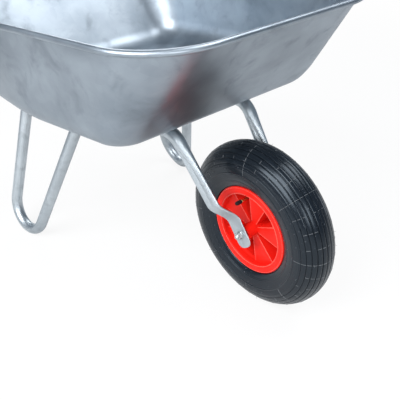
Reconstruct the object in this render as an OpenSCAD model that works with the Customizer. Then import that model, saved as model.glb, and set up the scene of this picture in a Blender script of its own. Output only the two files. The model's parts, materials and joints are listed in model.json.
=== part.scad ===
// Single-wheel barrow: pressed tray, bent-tube frame, splayed leg loops, pneumatic wheel.
// Millimetres. +X points forwards to the wheel, +Y to the left, +Z up, the ground is Z = 0.
// The origin is the middle of the footprint box. Sizes given "behind the axle" run along -X.

/* [Tyre] */
// Outer diameter of the tyre
tyre_d = 400; // [380:1:410]
// Widest width of the tyre
tyre_w = 100; // [94:1:106]
// Thickness of the tyre's casing
tyre_wall = 6; // [5:0.5:7]
// Number of circumferential tread grooves
tread_grooves = 12; // [6:1:14]
// Width of a groove on the crown of the tread
groove_w = 2.4; // [1.6:0.1:3]
// Depth of a groove on the crown of the tread
groove_depth = 2.4; // [1:0.1:3]
// Wall of the inner tube
inner_tube_wall = 2; // [1.5:0.1:3]

/* [Rim] */
// Diameter over the rim's flanges
rim_d = 215; // [210:1:220]
// Width over the rim's flanges
rim_w = 78; // [74:1:82]
// Radial width of the flange face
flange_face = 19; // [17:0.5:21]
// Thickness of the moulded walls
rim_wall = 4; // [3:0.5:5]
// Number of pockets on each side of the web
pocket_count = 5; // [4:1:7]
// Width over the two faces of the folded web
web_w = 46; // [36:1:52]
// Outer diameter of the hub
hub_d = 34; // [32:1:38]
// Length of the hub
hub_len = 104; // [98:1:110]

/* [Valve] */
// Diameter of the valve stem
valve_d = 6; // [5:0.5:7]
// Angle of the valve round the wheel
valve_angle = 104; // [102:1:126]
// Distance of the valve's hole from the middle plane
valve_y = 8; // [6:0.5:9]
// Length of the stem's outer leg
valve_len = 36; // [32:1:39]
// Diameter of the valve cap
valve_cap_d = 9.2; // [8.4:0.2:10]
// Length of the valve cap
valve_cap_len = 16; // [13:1:18]

/* [Axle] */
// Diameter of the axle bolt
axle_d = 10; // [10:1:13]
// Outer diameter of the sleeve that the bearings run on
sleeve_d = 16; // [15:0.5:18]
// Outer diameter of the roller bearings
bearing_d = 24; // [23:0.5:26]
// Length of one roller bearing
bearing_len = 22; // [16:1:28]
// Number of rollers in one bearing
roller_count = 10; // [8:1:11]
// Running clearance on the radius of a turning fit
running_gap = 0.05; // [0.02:0.01:0.08]
// End float of the hub on each side
end_float = 0.3; // [0.2:0.1:0.6]
// Length of one thrust spacer
spacer_len = 6.2; // [4:0.2:8]

/* [Frame tube] */
// Outer diameter of the frame tube
tube_d = 30; // [28:0.5:32]
// Wall of the frame tube
tube_wall = 1.5; // [1.2:0.1:2]
// Distance of the fork bend behind the axle
bend_back = 146; // [135:1:160]
// Distance of the fork bend from the middle plane
bend_out = 108; // [104:1:114]
// Angle at which each tube spreads away from the middle plane
spread = 7.5; // [6:0.1:9]
// Length of the level run under the tray
under_run = 640; // [610:5:680]
// Level length of the rising run behind the tray
rise_run = 285; // [265:5:310]
// Slope of the rising run
rise_angle = 22; // [18:0.5:26]
// Length of the handle end behind the last bend
grip_run = 193; // [180:1:215]
// Slope of the handle end
grip_angle = 8; // [4:0.5:12]
// Bend radius at the fork, on the tube's centre line
fork_bend_r = 50; // [44:1:60]
// Bend radius of the handle bends
handle_bend_r = 110; // [80:5:130]

/* [Fork end] */
// Thickness of the flattened end
plate_t = 4; // [3:0.2:5]
// Length of the flattened end past the axle
plate_nose = 31; // [26:1:34]
// Corner radius of the flattened end
plate_corner_r = 16; // [10:1:20]
// Distance from the axle up the arm at which the crank ends
crank_end = 34; // [30:1:40]
// Distance from the axle up the arm at which the crank begins
crank_start = 89; // [80:1:96]

/* [Leg loops] */
// Outer diameter of the leg tube
leg_d = 30; // [26:0.5:32]
// Wall of the leg tube
leg_wall = 1.5; // [1.2:0.1:2]
// Distance of the front leg bolt behind the fork bend, along the tube
leg_front = 287; // [275:1:300]
// Distance of the rear leg bolt behind the fork bend, along the tube
leg_rear = 522; // [500:1:560]
// Distance of the foot behind the fork bend, along the tube
leg_foot = 541; // [500:1:560]
// Distance of the foot outside the tube's plane
leg_out = 107; // [80:1:120]
// Bend radius at the foot, on the tube's centre line
leg_bend_r = 66; // [55:1:80]
// Length over which a leg's end is squashed
leg_squash = 50; // [40:1:60]

/* [Tray] */
// Height of the tray's underside above the ground
tray_z = 437; // [425:1:450]
// Depth of the tray
tray_depth = 225; // [200:5:250]
// Thickness of the tray's sheet
sheet_t = 1.4; // [1:0.1:2]
// Distance of the flat floor's front edge behind the axle
floor_back = 143; // [138:1:160]
// Length of the flat floor
floor_len = 510; // [480:2:530]
// Width of the flat floor at its front edge
floor_front_w = 470; // [450:2:490]
// Width of the flat floor at its widest
floor_mid_w = 536; // [520:2:550]
// Width of the flat floor at its rear edge
floor_rear_w = 510; // [480:2:530]
// Distance of the widest place behind the floor's front edge
floor_mid_at = 250; // [220:5:280]
// Lean of the front wall from upright
lean_front = 40; // [35:1:44]
// Lean of the side walls from upright
lean_side = 7; // [4:1:14]
// Lean of the rear wall from upright
lean_rear = 30; // [24:1:36]
// Radius between floor and walls
floor_r = 65; // [50:1:75]
// Corner radius of the flat floor
floor_corner_r = 40; // [30:1:50]
// Corner radius at the tray's upper edge
rim_corner_r = 150; // [110:5:170]
// Radius that rounds the widest place of the sides
side_r = 600; // [300:50:700]
// Radius of the rolled edge
roll_r = 6; // [4:0.5:8]

/* [Straps and fasteners] */
// Width of the cross straps
strap_w = 40; // [30:1:50]
// Thickness of the cross straps
strap_t = 3; // [2:0.5:4]
// Distance of the front cross strap behind the axle
strap_front = 214; // [204:1:240]
// Distance of the rear cross strap behind the axle
strap_rear = 590; // [560:1:610]
// Length of strap beyond the tube's centre line
strap_over = 22; // [18:1:28]
// Diameter of the tray and leg bolts
bolt_d = 8; // [6:1:10]
// Clearance on the radius of a bolt in its hole
hole_gap = 0.25; // [0.1:0.05:0.5]

/* [Grips] */
// Length of one grip
grip_len = 122; // [110:1:135]
// Outer diameter of the grip
grip_d = 38; // [36:0.5:42]
// Thickness of the grip's closed end
grip_end_t = 5; // [3:0.5:8]
// Number of ribs on one grip
grip_ribs = 14; // [8:1:18]

/* [Hidden] */

$fn = 48;
// Sides of a bent tube's section, and the largest turn between two of its rings
tube_sides = 24;
bend_step = 9;

steel = [0.70, 0.73, 0.76];
sheet_blue = [0.52, 0.57, 0.62];
zinc = [0.82, 0.83, 0.80];
red = [0.90, 0.12, 0.08];
rubber = [0.13, 0.14, 0.16];
brass = [0.72, 0.55, 0.25];

LEFT = 1;
RIGHT = -1;

// Heights and places that follow from the sizes above
axle_z = tyre_d / 2;
tube_z = tray_z - strap_t - tube_d / 2;
grip_round = 4;
grip_along_x = cos(grip_angle) * cos(spread);
rear_reach = bend_back + (under_run + rise_run) * cos(spread)
    + (grip_run + grip_end_t - grip_round) * grip_along_x
    + (grip_d / 2 - grip_round) * sqrt(1 - grip_along_x * grip_along_x) + grip_round;
axle_x = (rear_reach - tyre_d / 2) / 2;
fork_gap = hub_len + 2 * (end_float + spacer_len);
plate_y = (fork_gap + plate_t) / 2;

// Half the depth of a tube of radius r that is squashed to a half thickness of wide
function squashed(r, wide) = wide + PI * (r - wide) / 2;
plate_w = 2 * squashed(tube_d / 2, plate_t / 2);

// Standard proportions of hexagon bolts, nuts and washers
function nut_across(d) = 1.6 * d;
function nut_high(d) = 0.8 * d;
function head_high(d) = 0.65 * d;
function washer_across(d) = 2 * d;
function washer_high(d) = 0.2 * d;

// ---------------------------------------------------------------- vectors and places

function unit(v) = v / norm(v);

// Children are drawn from the axle's place, on the ground
module from_axle() translate([axle_x, 0, 0]) children();

// Children are drawn in a frame whose X and Y lie along ex and ey
module in_frame(origin, ex, ey) {
    ez = cross(ex, ey);
    multmatrix([
        [ex.x, ey.x, ez.x, origin.x],
        [ex.y, ey.y, ez.y, origin.y],
        [ex.z, ey.z, ez.z, origin.z],
        [0, 0, 0, 1]
    ]) children();
}

// Children drawn for the left side are kept there or mirrored to the right
module on_side(side) {
    if (side == LEFT) children();
    else mirror([0, 1, 0]) children();
}

// The plane of one frame tube: X runs rearwards from the fork bend, Y outwards, Z up
module in_tube_plane(side)
    from_axle() on_side(side)
        translate([-bend_back, bend_out, 0]) rotate([0, 0, 180 - spread]) mirror([0, 1, 0])
            children();

// Half the distance between the tubes at a place behind the axle
function tube_out(back) = bend_out + (back - bend_back) * tan(spread);

// ---------------------------------------------------------------- bent tubes and lofts

function turn(a, b, c) = acos(unit(b - a) * unit(c - b));
function setback(a, b, c, bend_r) = bend_r * tan(turn(a, b, c) / 2);

// Stations [point, direction] along the bend that rounds corner b on the way from a to c
function bend_stations(a, b, c, bend_r) =
    let (
        along = unit(b - a),
        inwards = unit((c - b) - along * ((c - b) * along)),
        start = b - along * setback(a, b, c, bend_r),
        steps = ceil(turn(a, b, c) / bend_step)
    )
    [for (i = [0 : steps]) let (t = turn(a, b, c) * i / steps)
        [start + bend_r * (along * sin(t) + inwards * (1 - cos(t))),
         along * cos(t) + inwards * sin(t)]];

// Stations of a whole path, with one bend radius for each inner point
function path_stations(path, bends) =
    let (last = len(path) - 1)
    [
        [path[0], unit(path[1] - path[0])],
        for (i = [1 : last - 1])
            each bend_stations(path[i - 1], path[i], path[i + 1], bends[i - 1]),
        [path[last], unit(path[last] - path[last - 1])]
    ];

// A ring round a station: wide is half its size along out, deep half its size across it.
// A squashed ring has flat sides; groove is the share of its thickness that a crease takes.
function oval(point, along, out, wide, deep, groove = 0) =
    let (across = unit(cross(along, out)), steep = 1 / sqrt(1 - pow(1 - wide / deep, 2)))
    [for (j = [0 : tube_sides - 1]) let (t = 360 * j / tube_sides)
        point + out * wide * sign(cos(t)) * min(1, steep * abs(cos(t)))
            * (1 - groove * pow(cos(t), 10)) + across * deep * sin(t)];

function round_rings(stations, out, r) =
    [for (s = stations) oval(s[0], s[1], out, r, r)];

// A closed solid through rings of equally many points
module skin(rings) {
    count = len(rings[0]);
    points = [for (ring = rings) for (p = ring) p];
    first = [for (j = [0 : count - 1]) j];
    last = [for (j = [count - 1 : -1 : 0]) (len(rings) - 1) * count + j];
    sides = [for (i = [0 : len(rings) - 2]) for (j = [0 : count - 1])
        let (a = i * count + j, b = i * count + (j + 1) % count)
            each [[a, a + count, b], [b, a + count, b + count]]];
    polyhedron(points = points, faces = concat([first, last], sides), convexity = 6);
}

// ---------------------------------------------------------------- fasteners, along +Z

module hex_prism(across, high) cylinder(h = high, d = across / cos(30), $fn = 6);

module washer(d) difference() {
    cylinder(h = washer_high(d), d = washer_across(d));
    translate([0, 0, -1]) cylinder(h = washer_high(d) + 2, r = d / 2 + hole_gap);
}

// A nut, threaded on a bolt of diameter d
module nut(d) difference() {
    intersection() {
        hex_prism(nut_across(d), nut_high(d));
        cylinder(h = nut_high(d), r1 = nut_across(d) / 2 + nut_high(d),
                 r2 = nut_across(d) / 2 + 0.05 * d);
    }
    translate([0, 0, -1]) cylinder(h = nut_high(d) + 2, d = d);
}

// A hexagon-headed bolt whose head sits below Z = 0
module hex_bolt(d, length) {
    translate([0, 0, -head_high(d)]) hex_prism(nut_across(d), head_high(d));
    cylinder(h = length, d = d);
}

// ---------------------------------------------------------------- tray

// How far a wall has moved outwards at height h, with a fillet of radius r at its foot
function wall_out(h, lean, r) =
    let (arc_h = r * (1 - sin(lean)))
        h < arc_h ? sqrt(r * r - (r - h) * (r - h)) : r * cos(lean) + (h - arc_h) * tan(lean);

// Slopes of the two stretches of a side, in plan
side_slope_front = (floor_mid_w - floor_front_w) / 2 / floor_mid_at;
side_slope_rear = (floor_mid_w - floor_rear_w) / 2 / (floor_len - floor_mid_at);

// The six corners of the tray's plan at height h above its floor, with a wall offset of grow
function plan_corners(h, r, grow) =
    let (
        front = -floor_back + wall_out(h, lean_front, r) + grow,
        rear = -floor_back - floor_len - wall_out(h, lean_rear, r) - grow,
        side = wall_out(h, lean_side, r) + grow,
        at_front = floor_front_w / 2 + side * sqrt(1 + side_slope_front * side_slope_front),
        at_mid = floor_mid_w / 2 + side * sqrt(1 + side_slope_rear * side_slope_rear),
        front_y = at_front - (front + floor_back) * side_slope_front,
        rear_y = at_mid + (rear + floor_back + floor_mid_at) * side_slope_rear,
        mid_y = floor_mid_w / 2 + side
    )
    [[front, front_y], [-floor_back - floor_mid_at, mid_y], [rear, rear_y],
     [rear, -rear_y], [-floor_back - floor_mid_at, -mid_y], [front, -front_y]];

// An arc of radius r that rounds corner b between a and c
function corner_arc(a, b, c, r, steps) =
    let (
        along = unit(b - a),
        away = unit(c - b),
        bend = acos(along * away),
        left = [-along.y, along.x],
        hand = away * left > 0 ? 1 : -1,
        centre = b - along * r * tan(bend / 2) + left * hand * r
    )
    [for (i = [0 : steps])
        centre + r * (along * sin(bend * i / steps) - left * hand * cos(bend * i / steps))];

corner_steps = 9;
side_steps = 3;

// One closed ring of the tray at height h above its floor's underside
function tray_ring(h, r, corner_r, lift, grow) =
    let (c = plan_corners(h, r, grow))
    [for (i = [0 : 5])
        let (
            wide = i == 1 || i == 4,
            arc = corner_arc(c[(i + 5) % 6], c[i], c[(i + 1) % 6],
                             wide ? side_r : corner_r, wide ? side_steps : corner_steps)
        )
        for (p = arc) [p.x, p.y, tray_z + h + lift]];

// The corner radius grows from floor to edge as the front wall leans out
function corner_r_at(h) =
    floor_corner_r + (rim_corner_r - floor_corner_r)
        * wall_out(h, lean_front, floor_r) / wall_out(tray_depth, lean_front, floor_r);

fillet_angles = [0, 14, 28, 42, 56, 70, 82];
roll_angles = [225, 270, 315, 0, 45, 90, 135];

function outer_rings() =
    [for (a = fillet_angles) let (h = floor_r * (1 - cos(a)))
        tray_ring(h, floor_r, corner_r_at(h), 0, 0)];

// The edge is rolled outwards and stays flush with the tray's inner face
function roll_rings() =
    [for (a = roll_angles)
        tray_ring(tray_depth, floor_r, rim_corner_r, roll_r * sin(a),
                  roll_r * (1 + cos(a)) - sheet_t)];

inner_r = floor_r - sheet_t;

function inner_rings() =
    [for (i = [len(fillet_angles) - 1 : -1 : 0])
        let (h = inner_r * (1 - cos(fillet_angles[i])))
            tray_ring(h, inner_r, corner_r_at(h), sheet_t, 0)];

module tray() color(sheet_blue) from_axle() difference() {
    skin(concat(outer_rings(), roll_rings(), inner_rings()));
    at_tray_bolts() translate([0, 0, tray_z - 1])
        cylinder(h = sheet_t + 2, r = bolt_d / 2 + hole_gap);
}

// ---------------------------------------------------------------- cross straps and tray bolts

// Children are drawn at each place where a bolt ties tray, strap and tube together
module at_tray_bolts()
    for (back = [strap_front, strap_rear]) for (side = [RIGHT, LEFT])
        translate([-back, side * tube_out(back), 0]) children();

module cross_strap(back) color(zinc) from_axle() difference() {
    half = tube_out(back) + strap_over;
    translate([-back - strap_w / 2, -half, tray_z - strap_t])
        cube([strap_w, 2 * half, strap_t]);
    at_tray_bolts() translate([0, 0, tray_z - strap_t - 1])
        cylinder(h = strap_t + 2, r = bolt_d / 2 + hole_gap);
}

module front_cross_strap() cross_strap(strap_front);
module rear_cross_strap() cross_strap(strap_rear);

head_dome_h = 0.5 * bolt_d;
tube_under = tube_z - tube_d / 2;

// A domed head, cut from a ball, sits on the tray's floor
module tray_bolts() color(zinc) from_axle() at_tray_bolts() {
    ball_r = (bolt_d * bolt_d + head_dome_h * head_dome_h) / (2 * head_dome_h);
    nut_z = tube_under - washer_high(bolt_d) - nut_high(bolt_d);
    translate([0, 0, nut_z - 2])
        cylinder(h = tray_z + sheet_t - nut_z + 2.5, d = bolt_d);
    translate([0, 0, tray_z + sheet_t]) intersection() {
        translate([0, 0, head_dome_h - ball_r]) sphere(r = ball_r);
        cylinder(h = head_dome_h, r = bolt_d);
    }
}

module tray_washers() color(zinc) from_axle() at_tray_bolts()
    translate([0, 0, tube_under - washer_high(bolt_d)]) washer(bolt_d);

module tray_nuts() color(zinc) from_axle() at_tray_bolts()
    translate([0, 0, tube_under - washer_high(bolt_d) - nut_high(bolt_d)]) nut(bolt_d);

// ---------------------------------------------------------------- frame tubes

// A point of the tube's plane, [rearwards, outwards, up], seen from the axle, left side
function from_tube_plane(p) = [
    -bend_back - p.x * cos(spread) + p.y * sin(spread),
    bend_out + p.x * sin(spread) + p.y * cos(spread),
    p.z
];
tube_side = [sin(spread), cos(spread), 0];

fork_drop = tube_z - axle_z;
arm_len = norm([bend_back, fork_drop]);
half_tube = tube_d / 2;
arm_top = fork_bend_r * tan(atan2(fork_drop, bend_back) / 2) + 4;

// The round part of the path in its own plane, from the handle's end to the fork bend
rise_start = [under_run, 0, tube_z];
rise_stop = rise_start + rise_run * [1, 0, tan(rise_angle)];
handle_dir = [cos(grip_angle), 0, sin(grip_angle)];
handle_end = rise_stop + grip_run * handle_dir;
down_the_fork = unit([-bend_back / cos(spread), 0, -fork_drop]);
tube_path = [for (p = [handle_end, rise_stop, rise_start, [0, 0, tube_z],
                       [0, 0, tube_z] + down_the_fork * arm_top]) from_tube_plane(p)];
tube_bends = [handle_bend_r, handle_bend_r, fork_bend_r];

// Height of the tube's centre line at a distance behind the fork bend
function tube_z_at(run) =
    run < under_run ? tube_z : tube_z + (run - under_run) * tan(rise_angle);

// The arm from the fork bend to the axle: straight in side view, squashed step by step,
// then cranked inwards to the wheel. Distances run down the arm from the fork bend.
arm_dir = [bend_back / arm_len, 0, -fork_drop / arm_len];
arm_up = [-arm_dir.z, 0, arm_dir.x];
arm_base = [-bend_back, 0, tube_z];
crank_top = arm_len - crank_start;
crank_foot = arm_len - crank_end;

function plane_y(s) = bend_out - s * arm_dir.x * tan(spread);
function arm_point(s, y) = arm_base + arm_dir * s + [0, y, 0];

// Steps of the squash: [share of the way, share of the thickness that is left, groove]
squash_steps = [
    [0.08, 0.86, 0.1], [0.25, 0.64, 0.3], [0.45, 0.52, 0.36], [0.65, 0.44, 0.32],
    [0.85, 0.34, 0.22]
];

function squash_rings(wall) = [for (q = squash_steps)
    let (s = arm_top + (crank_top - arm_top) * q[0], wide = q[1] * half_tube)
        oval(arm_point(s, plane_y(s)), arm_dir, [0, 1, 0],
             wide - wall, squashed(half_tube, wide) - wall, q[2])];

// The crank eases from the tube's plane to the plate's place
crank_thick = half_tube * 0.28;
crank_rings = [for (q = [0, 0.15, 0.3, 0.5, 0.7, 0.85])
    let (
        s = crank_top + (crank_foot - crank_top) * q,
        share = q * q * (3 - 2 * q),
        wide = crank_thick + (plate_t / 2 - crank_thick) * share
    )
    oval(arm_point(s, plane_y(crank_top) * (1 - share) + plate_y * share), arm_dir,
         [0, 1, 0], wide, squashed(half_tube, wide), 0.12 * (1 - share))];

// The flattened end, with a nose that has rounded corners
nose_start = plate_nose - plate_corner_r;
plate_rings = [
    oval(arm_point(crank_foot, plate_y), arm_dir, [0, 1, 0], plate_t / 2, plate_w / 2),
    for (a = [0 : 22.5 : 90])
        oval(arm_point(arm_len + nose_start + plate_corner_r * sin(a), plate_y), arm_dir,
             [0, 1, 0], plate_t / 2, plate_w / 2 - plate_corner_r * (1 - cos(a)))
];

function open_end(stations) =
    [for (i = [0 : len(stations) - 1])
        i == 0 ? [stations[0][0] - stations[0][1], stations[0][1]] : stations[i]];

tube_stations = path_stations(tube_path, tube_bends);

// Children are drawn at each bolt of a leg, Z pointing outwards from the tube's plane
module at_leg_bolts()
    for (run = [leg_front, leg_rear])
        translate([run, 0, tube_z_at(run)]) rotate([-90, 0, 0]) children();

module tube_holes(side) {
    in_tube_plane(side) at_leg_bolts() translate([0, 0, -tube_d])
        cylinder(h = 2 * tube_d, r = bolt_d / 2 + hole_gap);
    from_axle() for (back = [strap_front, strap_rear])
        translate([-back, side * tube_out(back), tube_z - tube_d])
            cylinder(h = 2 * tube_d, r = bolt_d / 2 + hole_gap);
}

module frame_tube(side) color(steel) difference() {
    from_axle() on_side(side) difference() {
        skin(concat(round_rings(tube_stations, tube_side, half_tube),
                    squash_rings(0), crank_rings, plate_rings));
        skin(concat(round_rings(open_end(tube_stations), tube_side, half_tube - tube_wall),
                    squash_rings(tube_wall)));
        translate([0, plate_y - plate_t, axle_z]) rotate([-90, 0, 0])
            cylinder(h = 2 * plate_t, r = axle_d / 2 + hole_gap);
    }
    tube_holes(side);
}

module frame_tube_left() frame_tube(LEFT);
module frame_tube_right() frame_tube(RIGHT);

// ---------------------------------------------------------------- leg loops

leg_r = leg_d / 2;
tab_t = 2 * leg_wall + 1;
tab_r = squashed(leg_r, tab_t / 2);
tab_y = half_tube + tab_t / 2;
tab_drop = half_tube + 3;
tab_over = half_tube;

// In the tube's plane: the bolts, and the lowest point of the loop's centre line
leg_bolt_front = [leg_front, tab_y, tube_z_at(leg_front)];
leg_bolt_rear = [leg_rear, tab_y, tube_z_at(leg_rear)];
foot = [leg_foot, leg_out, leg_r];

// The flat direction from a bolt down to the side of the foot's bend
function tab_dir(bolt, side) =
    let (aim = foot + [side * leg_bend_r, 0, leg_bend_r] - bolt) unit([aim.x, 0, aim.z]);
function leg_top(bolt, side) = bolt + tab_dir(bolt, side) * tab_drop;
leg_top_front = leg_top(leg_bolt_front, -1);
leg_top_rear = leg_top(leg_bolt_rear, 1);

// The loop's own plane, and the centre of the bend that touches the ground at the foot
loop_side = unit(cross(leg_top_front - foot, leg_top_rear - foot));
loop_up = unit([0, 0, 1] - loop_side * loop_side.z);
bend_at = foot + loop_up * leg_bend_r;

// Where a limb's line from its top touches the bend, on the front or the rear side
function limb_foot(top, side) =
    let (
        away = top - bend_at,
        reach = norm(away),
        lean = acos(leg_bend_r / reach),
        ahead = unit(cross(loop_side, away))
    )
    bend_at + leg_bend_r * (away / reach * cos(lean) + side * ahead * sin(lean));

limb_foot_front = limb_foot(leg_top_front, -1);
limb_foot_rear = limb_foot(leg_top_rear, 1);
limb_dir_front = unit(limb_foot_front - leg_top_front);
limb_dir_rear = unit(limb_foot_rear - leg_top_rear);

bend_turn = acos((limb_foot_front - bend_at) * (limb_foot_rear - bend_at)
                 / (leg_bend_r * leg_bend_r));
foot_steps = ceil(bend_turn / bend_step);
foot_stations = [for (i = [0 : foot_steps]) let (t = bend_turn * i / foot_steps)
    [bend_at + (limb_foot_front - bend_at) * cos(t) + limb_dir_front * leg_bend_r * sin(t),
     limb_dir_front * cos(t) - unit(limb_foot_front - bend_at) * sin(t)]];

// Rings of a limb's squashed upper end: [share of the squash, half thickness]
limb_squash = [[0.25, leg_r * 0.4], [0.6, leg_r * 0.75], [1, leg_r]];

function limb_rings(top, dir, travel, wall) = [for (q = limb_squash)
    oval(top + dir * leg_squash * q[0], dir * travel,
         unit([0, 1, 0] * (1 - q[0]) + loop_side * q[0]), q[1] - wall,
         squashed(leg_r, q[1]) - wall)];

// Rings of a flat tab, from its round end past the bolt down to the limb's top
function tab_rings(bolt, dir, travel) = [
    for (a = [75, 50, 25, 0])
        oval(bolt - dir * tab_over * sin(a), dir * travel, [0, 1, 0], tab_t / 2, tab_r * cos(a)),
    oval(bolt + dir * tab_drop, dir * travel, [0, 1, 0], tab_t / 2, tab_r)
];

function reversed(list) = [for (i = [len(list) - 1 : -1 : 0]) list[i]];

function limb_and_bend(wall) = concat(
    limb_rings(leg_top_front, limb_dir_front, 1, wall),
    round_rings(foot_stations, loop_side, leg_r - wall),
    reversed(limb_rings(leg_top_rear, limb_dir_rear, -1, wall))
);

module leg_loop(side) color(steel) in_tube_plane(side) difference() {
    skin(concat(
        tab_rings(leg_bolt_front, tab_dir(leg_bolt_front, -1), 1),
        limb_and_bend(0),
        reversed(tab_rings(leg_bolt_rear, tab_dir(leg_bolt_rear, 1), -1))
    ));
    skin(limb_and_bend(leg_wall));
    at_leg_bolts() translate([0, 0, half_tube - 1])
        cylinder(h = tab_t + 2, r = bolt_d / 2 + hole_gap);
}

module leg_loop_left() leg_loop(LEFT);
module leg_loop_right() leg_loop(RIGHT);

// Heads sit outside on the tabs, nuts inside on the tubes
module at_all_leg_bolts() for (side = [RIGHT, LEFT]) in_tube_plane(side) at_leg_bolts() children();

module leg_bolts() color(zinc) at_all_leg_bolts()
    translate([0, 0, half_tube + tab_t]) mirror([0, 0, 1])
        hex_bolt(bolt_d, tab_t + tube_d + washer_high(bolt_d) + nut_high(bolt_d) + 3);

module leg_washers() color(zinc) at_all_leg_bolts()
    translate([0, 0, -half_tube - washer_high(bolt_d)]) washer(bolt_d);

module leg_nuts() color(zinc) at_all_leg_bolts()
    translate([0, 0, -half_tube - washer_high(bolt_d) - nut_high(bolt_d)]) nut(bolt_d);

// ---------------------------------------------------------------- grips

grip_bore_len = grip_len - grip_end_t;
rib_pitch = (grip_bore_len - 24) / grip_ribs;

// Half the grip's section: a flange, a row of ribs and a swollen closed end
module grip_section() {
    body_r = grip_d / 2 - 2;
    difference() {
        union() {
            square([body_r, grip_len - grip_round]);
            square([grip_d / 2 + 2, 4]);
            for (i = [0 : grip_ribs - 1])
                translate([0, 10 + rib_pitch * i]) square([grip_d / 2, rib_pitch * 0.55]);
            translate([0, grip_len - grip_round - 10]) square([grip_d / 2, 10]);
            translate([0, grip_len - grip_round]) square([grip_d / 2 - grip_round, grip_round]);
            translate([grip_d / 2 - grip_round, grip_len - grip_round]) circle(r = grip_round);
        }
        translate([0, -1]) square([half_tube, grip_bore_len + 1]);
        translate([-grip_d, -1]) square([grip_d, grip_len + 2]);
    }
}

module grip(side) color(rubber) in_tube_plane(side)
    in_frame(handle_end - handle_dir * grip_bore_len, [0, 1, 0], cross(handle_dir, [0, 1, 0]))
        rotate_extrude() grip_section();

module grip_left() grip(LEFT);
module grip_right() grip(RIGHT);

// ---------------------------------------------------------------- axle

// Children are drawn from the middle of the wheel, with Z along the axle to the left
module on_axle() from_axle() translate([0, 0, axle_z]) rotate([-90, 0, 0]) children();

axle_stack = fork_gap / 2 + plate_t + washer_high(axle_d);

module axle_bolt() color(zinc) on_axle() translate([0, 0, axle_stack]) mirror([0, 0, 1])
    hex_bolt(axle_d, 2 * axle_stack + nut_high(axle_d) + 4);

module axle_washers() color(zinc) on_axle() {
    translate([0, 0, axle_stack - washer_high(axle_d)]) washer(axle_d);
    translate([0, 0, -axle_stack]) washer(axle_d);
}

module axle_nut() color(zinc) on_axle()
    translate([0, 0, -axle_stack - nut_high(axle_d)]) nut(axle_d);

module ring(outer_r, inner_r, high) difference() {
    cylinder(h = high, r = outer_r);
    translate([0, 0, -1]) cylinder(h = high + 2, r = inner_r);
}

module axle_sleeve() color(steel) on_axle()
    translate([0, 0, -fork_gap / 2]) ring(sleeve_d / 2, axle_d / 2 + hole_gap, fork_gap);

module thrust_spacer(side) color(zinc) on_axle()
    translate([0, 0, side == LEFT ? fork_gap / 2 - spacer_len : -fork_gap / 2])
        ring(bearing_d / 2, sleeve_d / 2 + running_gap, spacer_len);

module thrust_spacer_left() thrust_spacer(LEFT);
module thrust_spacer_right() thrust_spacer(RIGHT);

// A roller bearing: drawn cup, rollers and a cage between them
module bearing(side) color(steel) on_axle()
    translate([0, 0, side == LEFT ? hub_len / 2 - bearing_len : -hub_len / 2]) {
        bore_r = sleeve_d / 2 + running_gap;
        cup_r = bearing_d / 2 - 1;
        roller_r = (cup_r - bore_r) / 2 - 0.15;
        pitch_r = (cup_r + bore_r) / 2;
        ring(bearing_d / 2, cup_r, bearing_len);
        for (i = [0 : roller_count - 1]) rotate([0, 0, 360 * i / roller_count])
            translate([pitch_r, 0, 2]) cylinder(h = bearing_len - 4, r = roller_r, $fn = 24);
        for (z = [0, bearing_len - 2]) translate([0, 0, z]) ring(cup_r, bore_r, 2);
    }

module bearing_left() bearing(LEFT);
module bearing_right() bearing(RIGHT);

// ---------------------------------------------------------------- rim

rim_r = rim_d / 2;
seat_r = rim_r - 11;
dish_r = rim_r - flange_face;
well_r = seat_r - 7;
sector = 180 / pocket_count;
// Where the first pocket starts, as the web is drawn and as the rim is mounted
drawn_pocket = 100;
first_pocket = 95.7;

// Angles round the wheel run from +X towards +Z, as seen from the right
module wheel_turned() mirror([0, 1, 0]) children();

// Half the rim barrel's section above the well: [radius, distance from the middle plane]
module barrel_half() {
    lip_r = 2;
    polygon([
        [well_r, 0], [well_r, web_w / 2 - 6], [seat_r, web_w / 2], [seat_r, rim_w / 2 - rim_wall],
        [rim_r - lip_r, rim_w / 2 - rim_wall], [rim_r - lip_r, rim_w / 2],
        [dish_r + lip_r, rim_w / 2], [dish_r, rim_w / 2 - lip_r], [dish_r, web_w / 2 - 2],
        [well_r - rim_wall, web_w / 2 - 8], [well_r - rim_wall, 0]
    ]);
    for (y = [rim_w / 2 - lip_r, rim_w / 2 - rim_wall + lip_r])
        translate([rim_r - lip_r, y]) circle(r = lip_r, $fn = 24);
}

module barrel() rotate_extrude($fn = 96) {
    barrel_half();
    mirror([0, 1]) barrel_half();
}

// A flat sector between hub and barrel
module web_plate(angle) rotate([0, 0, angle]) linear_extrude(rim_wall) intersection() {
    circle(r = dish_r + 2);
    polygon([[0, 0], 2 * rim_r * [1, 0], 2 * rim_r * [cos(sector), sin(sector)]]);
}

// The web is one folded sheet: its sectors lie in turn at the left and at the right face
module folded_web() {
    for (i = [0 : pocket_count - 1]) {
        turn_to = drawn_pocket + 2 * sector * i;
        translate([0, 0, web_w / 2 - rim_wall]) web_plate(turn_to);
        translate([0, 0, -web_w / 2]) web_plate(turn_to + sector);
        for (a = [turn_to, turn_to + sector])
            rotate([0, 0, a]) translate([0, -rim_wall / 2, -web_w / 2])
                cube([well_r - 0.5, rim_wall, web_w]);
    }
}

module rim() color(red) on_axle() difference() {
    rotate([0, 0, drawn_pocket - first_pocket]) union() {
        barrel();
        wheel_turned() folded_web();
        translate([0, 0, -hub_len / 2]) cylinder(h = hub_len, d = hub_d);
    }
    translate([0, 0, -hub_len / 2 - 1]) cylinder(h = hub_len + 2, r = sleeve_d / 2 + 1.5);
    for (z = [-hub_len / 2 - 1, hub_len / 2 - bearing_len])
        translate([0, 0, z]) cylinder(h = bearing_len + 1, d = bearing_d);
    at_valve() translate([0, 0, dish_r / 2]) cylinder(h = rim_r, r = valve_d / 2 + hole_gap);
}

// ---------------------------------------------------------------- tyre and inner tube

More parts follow.
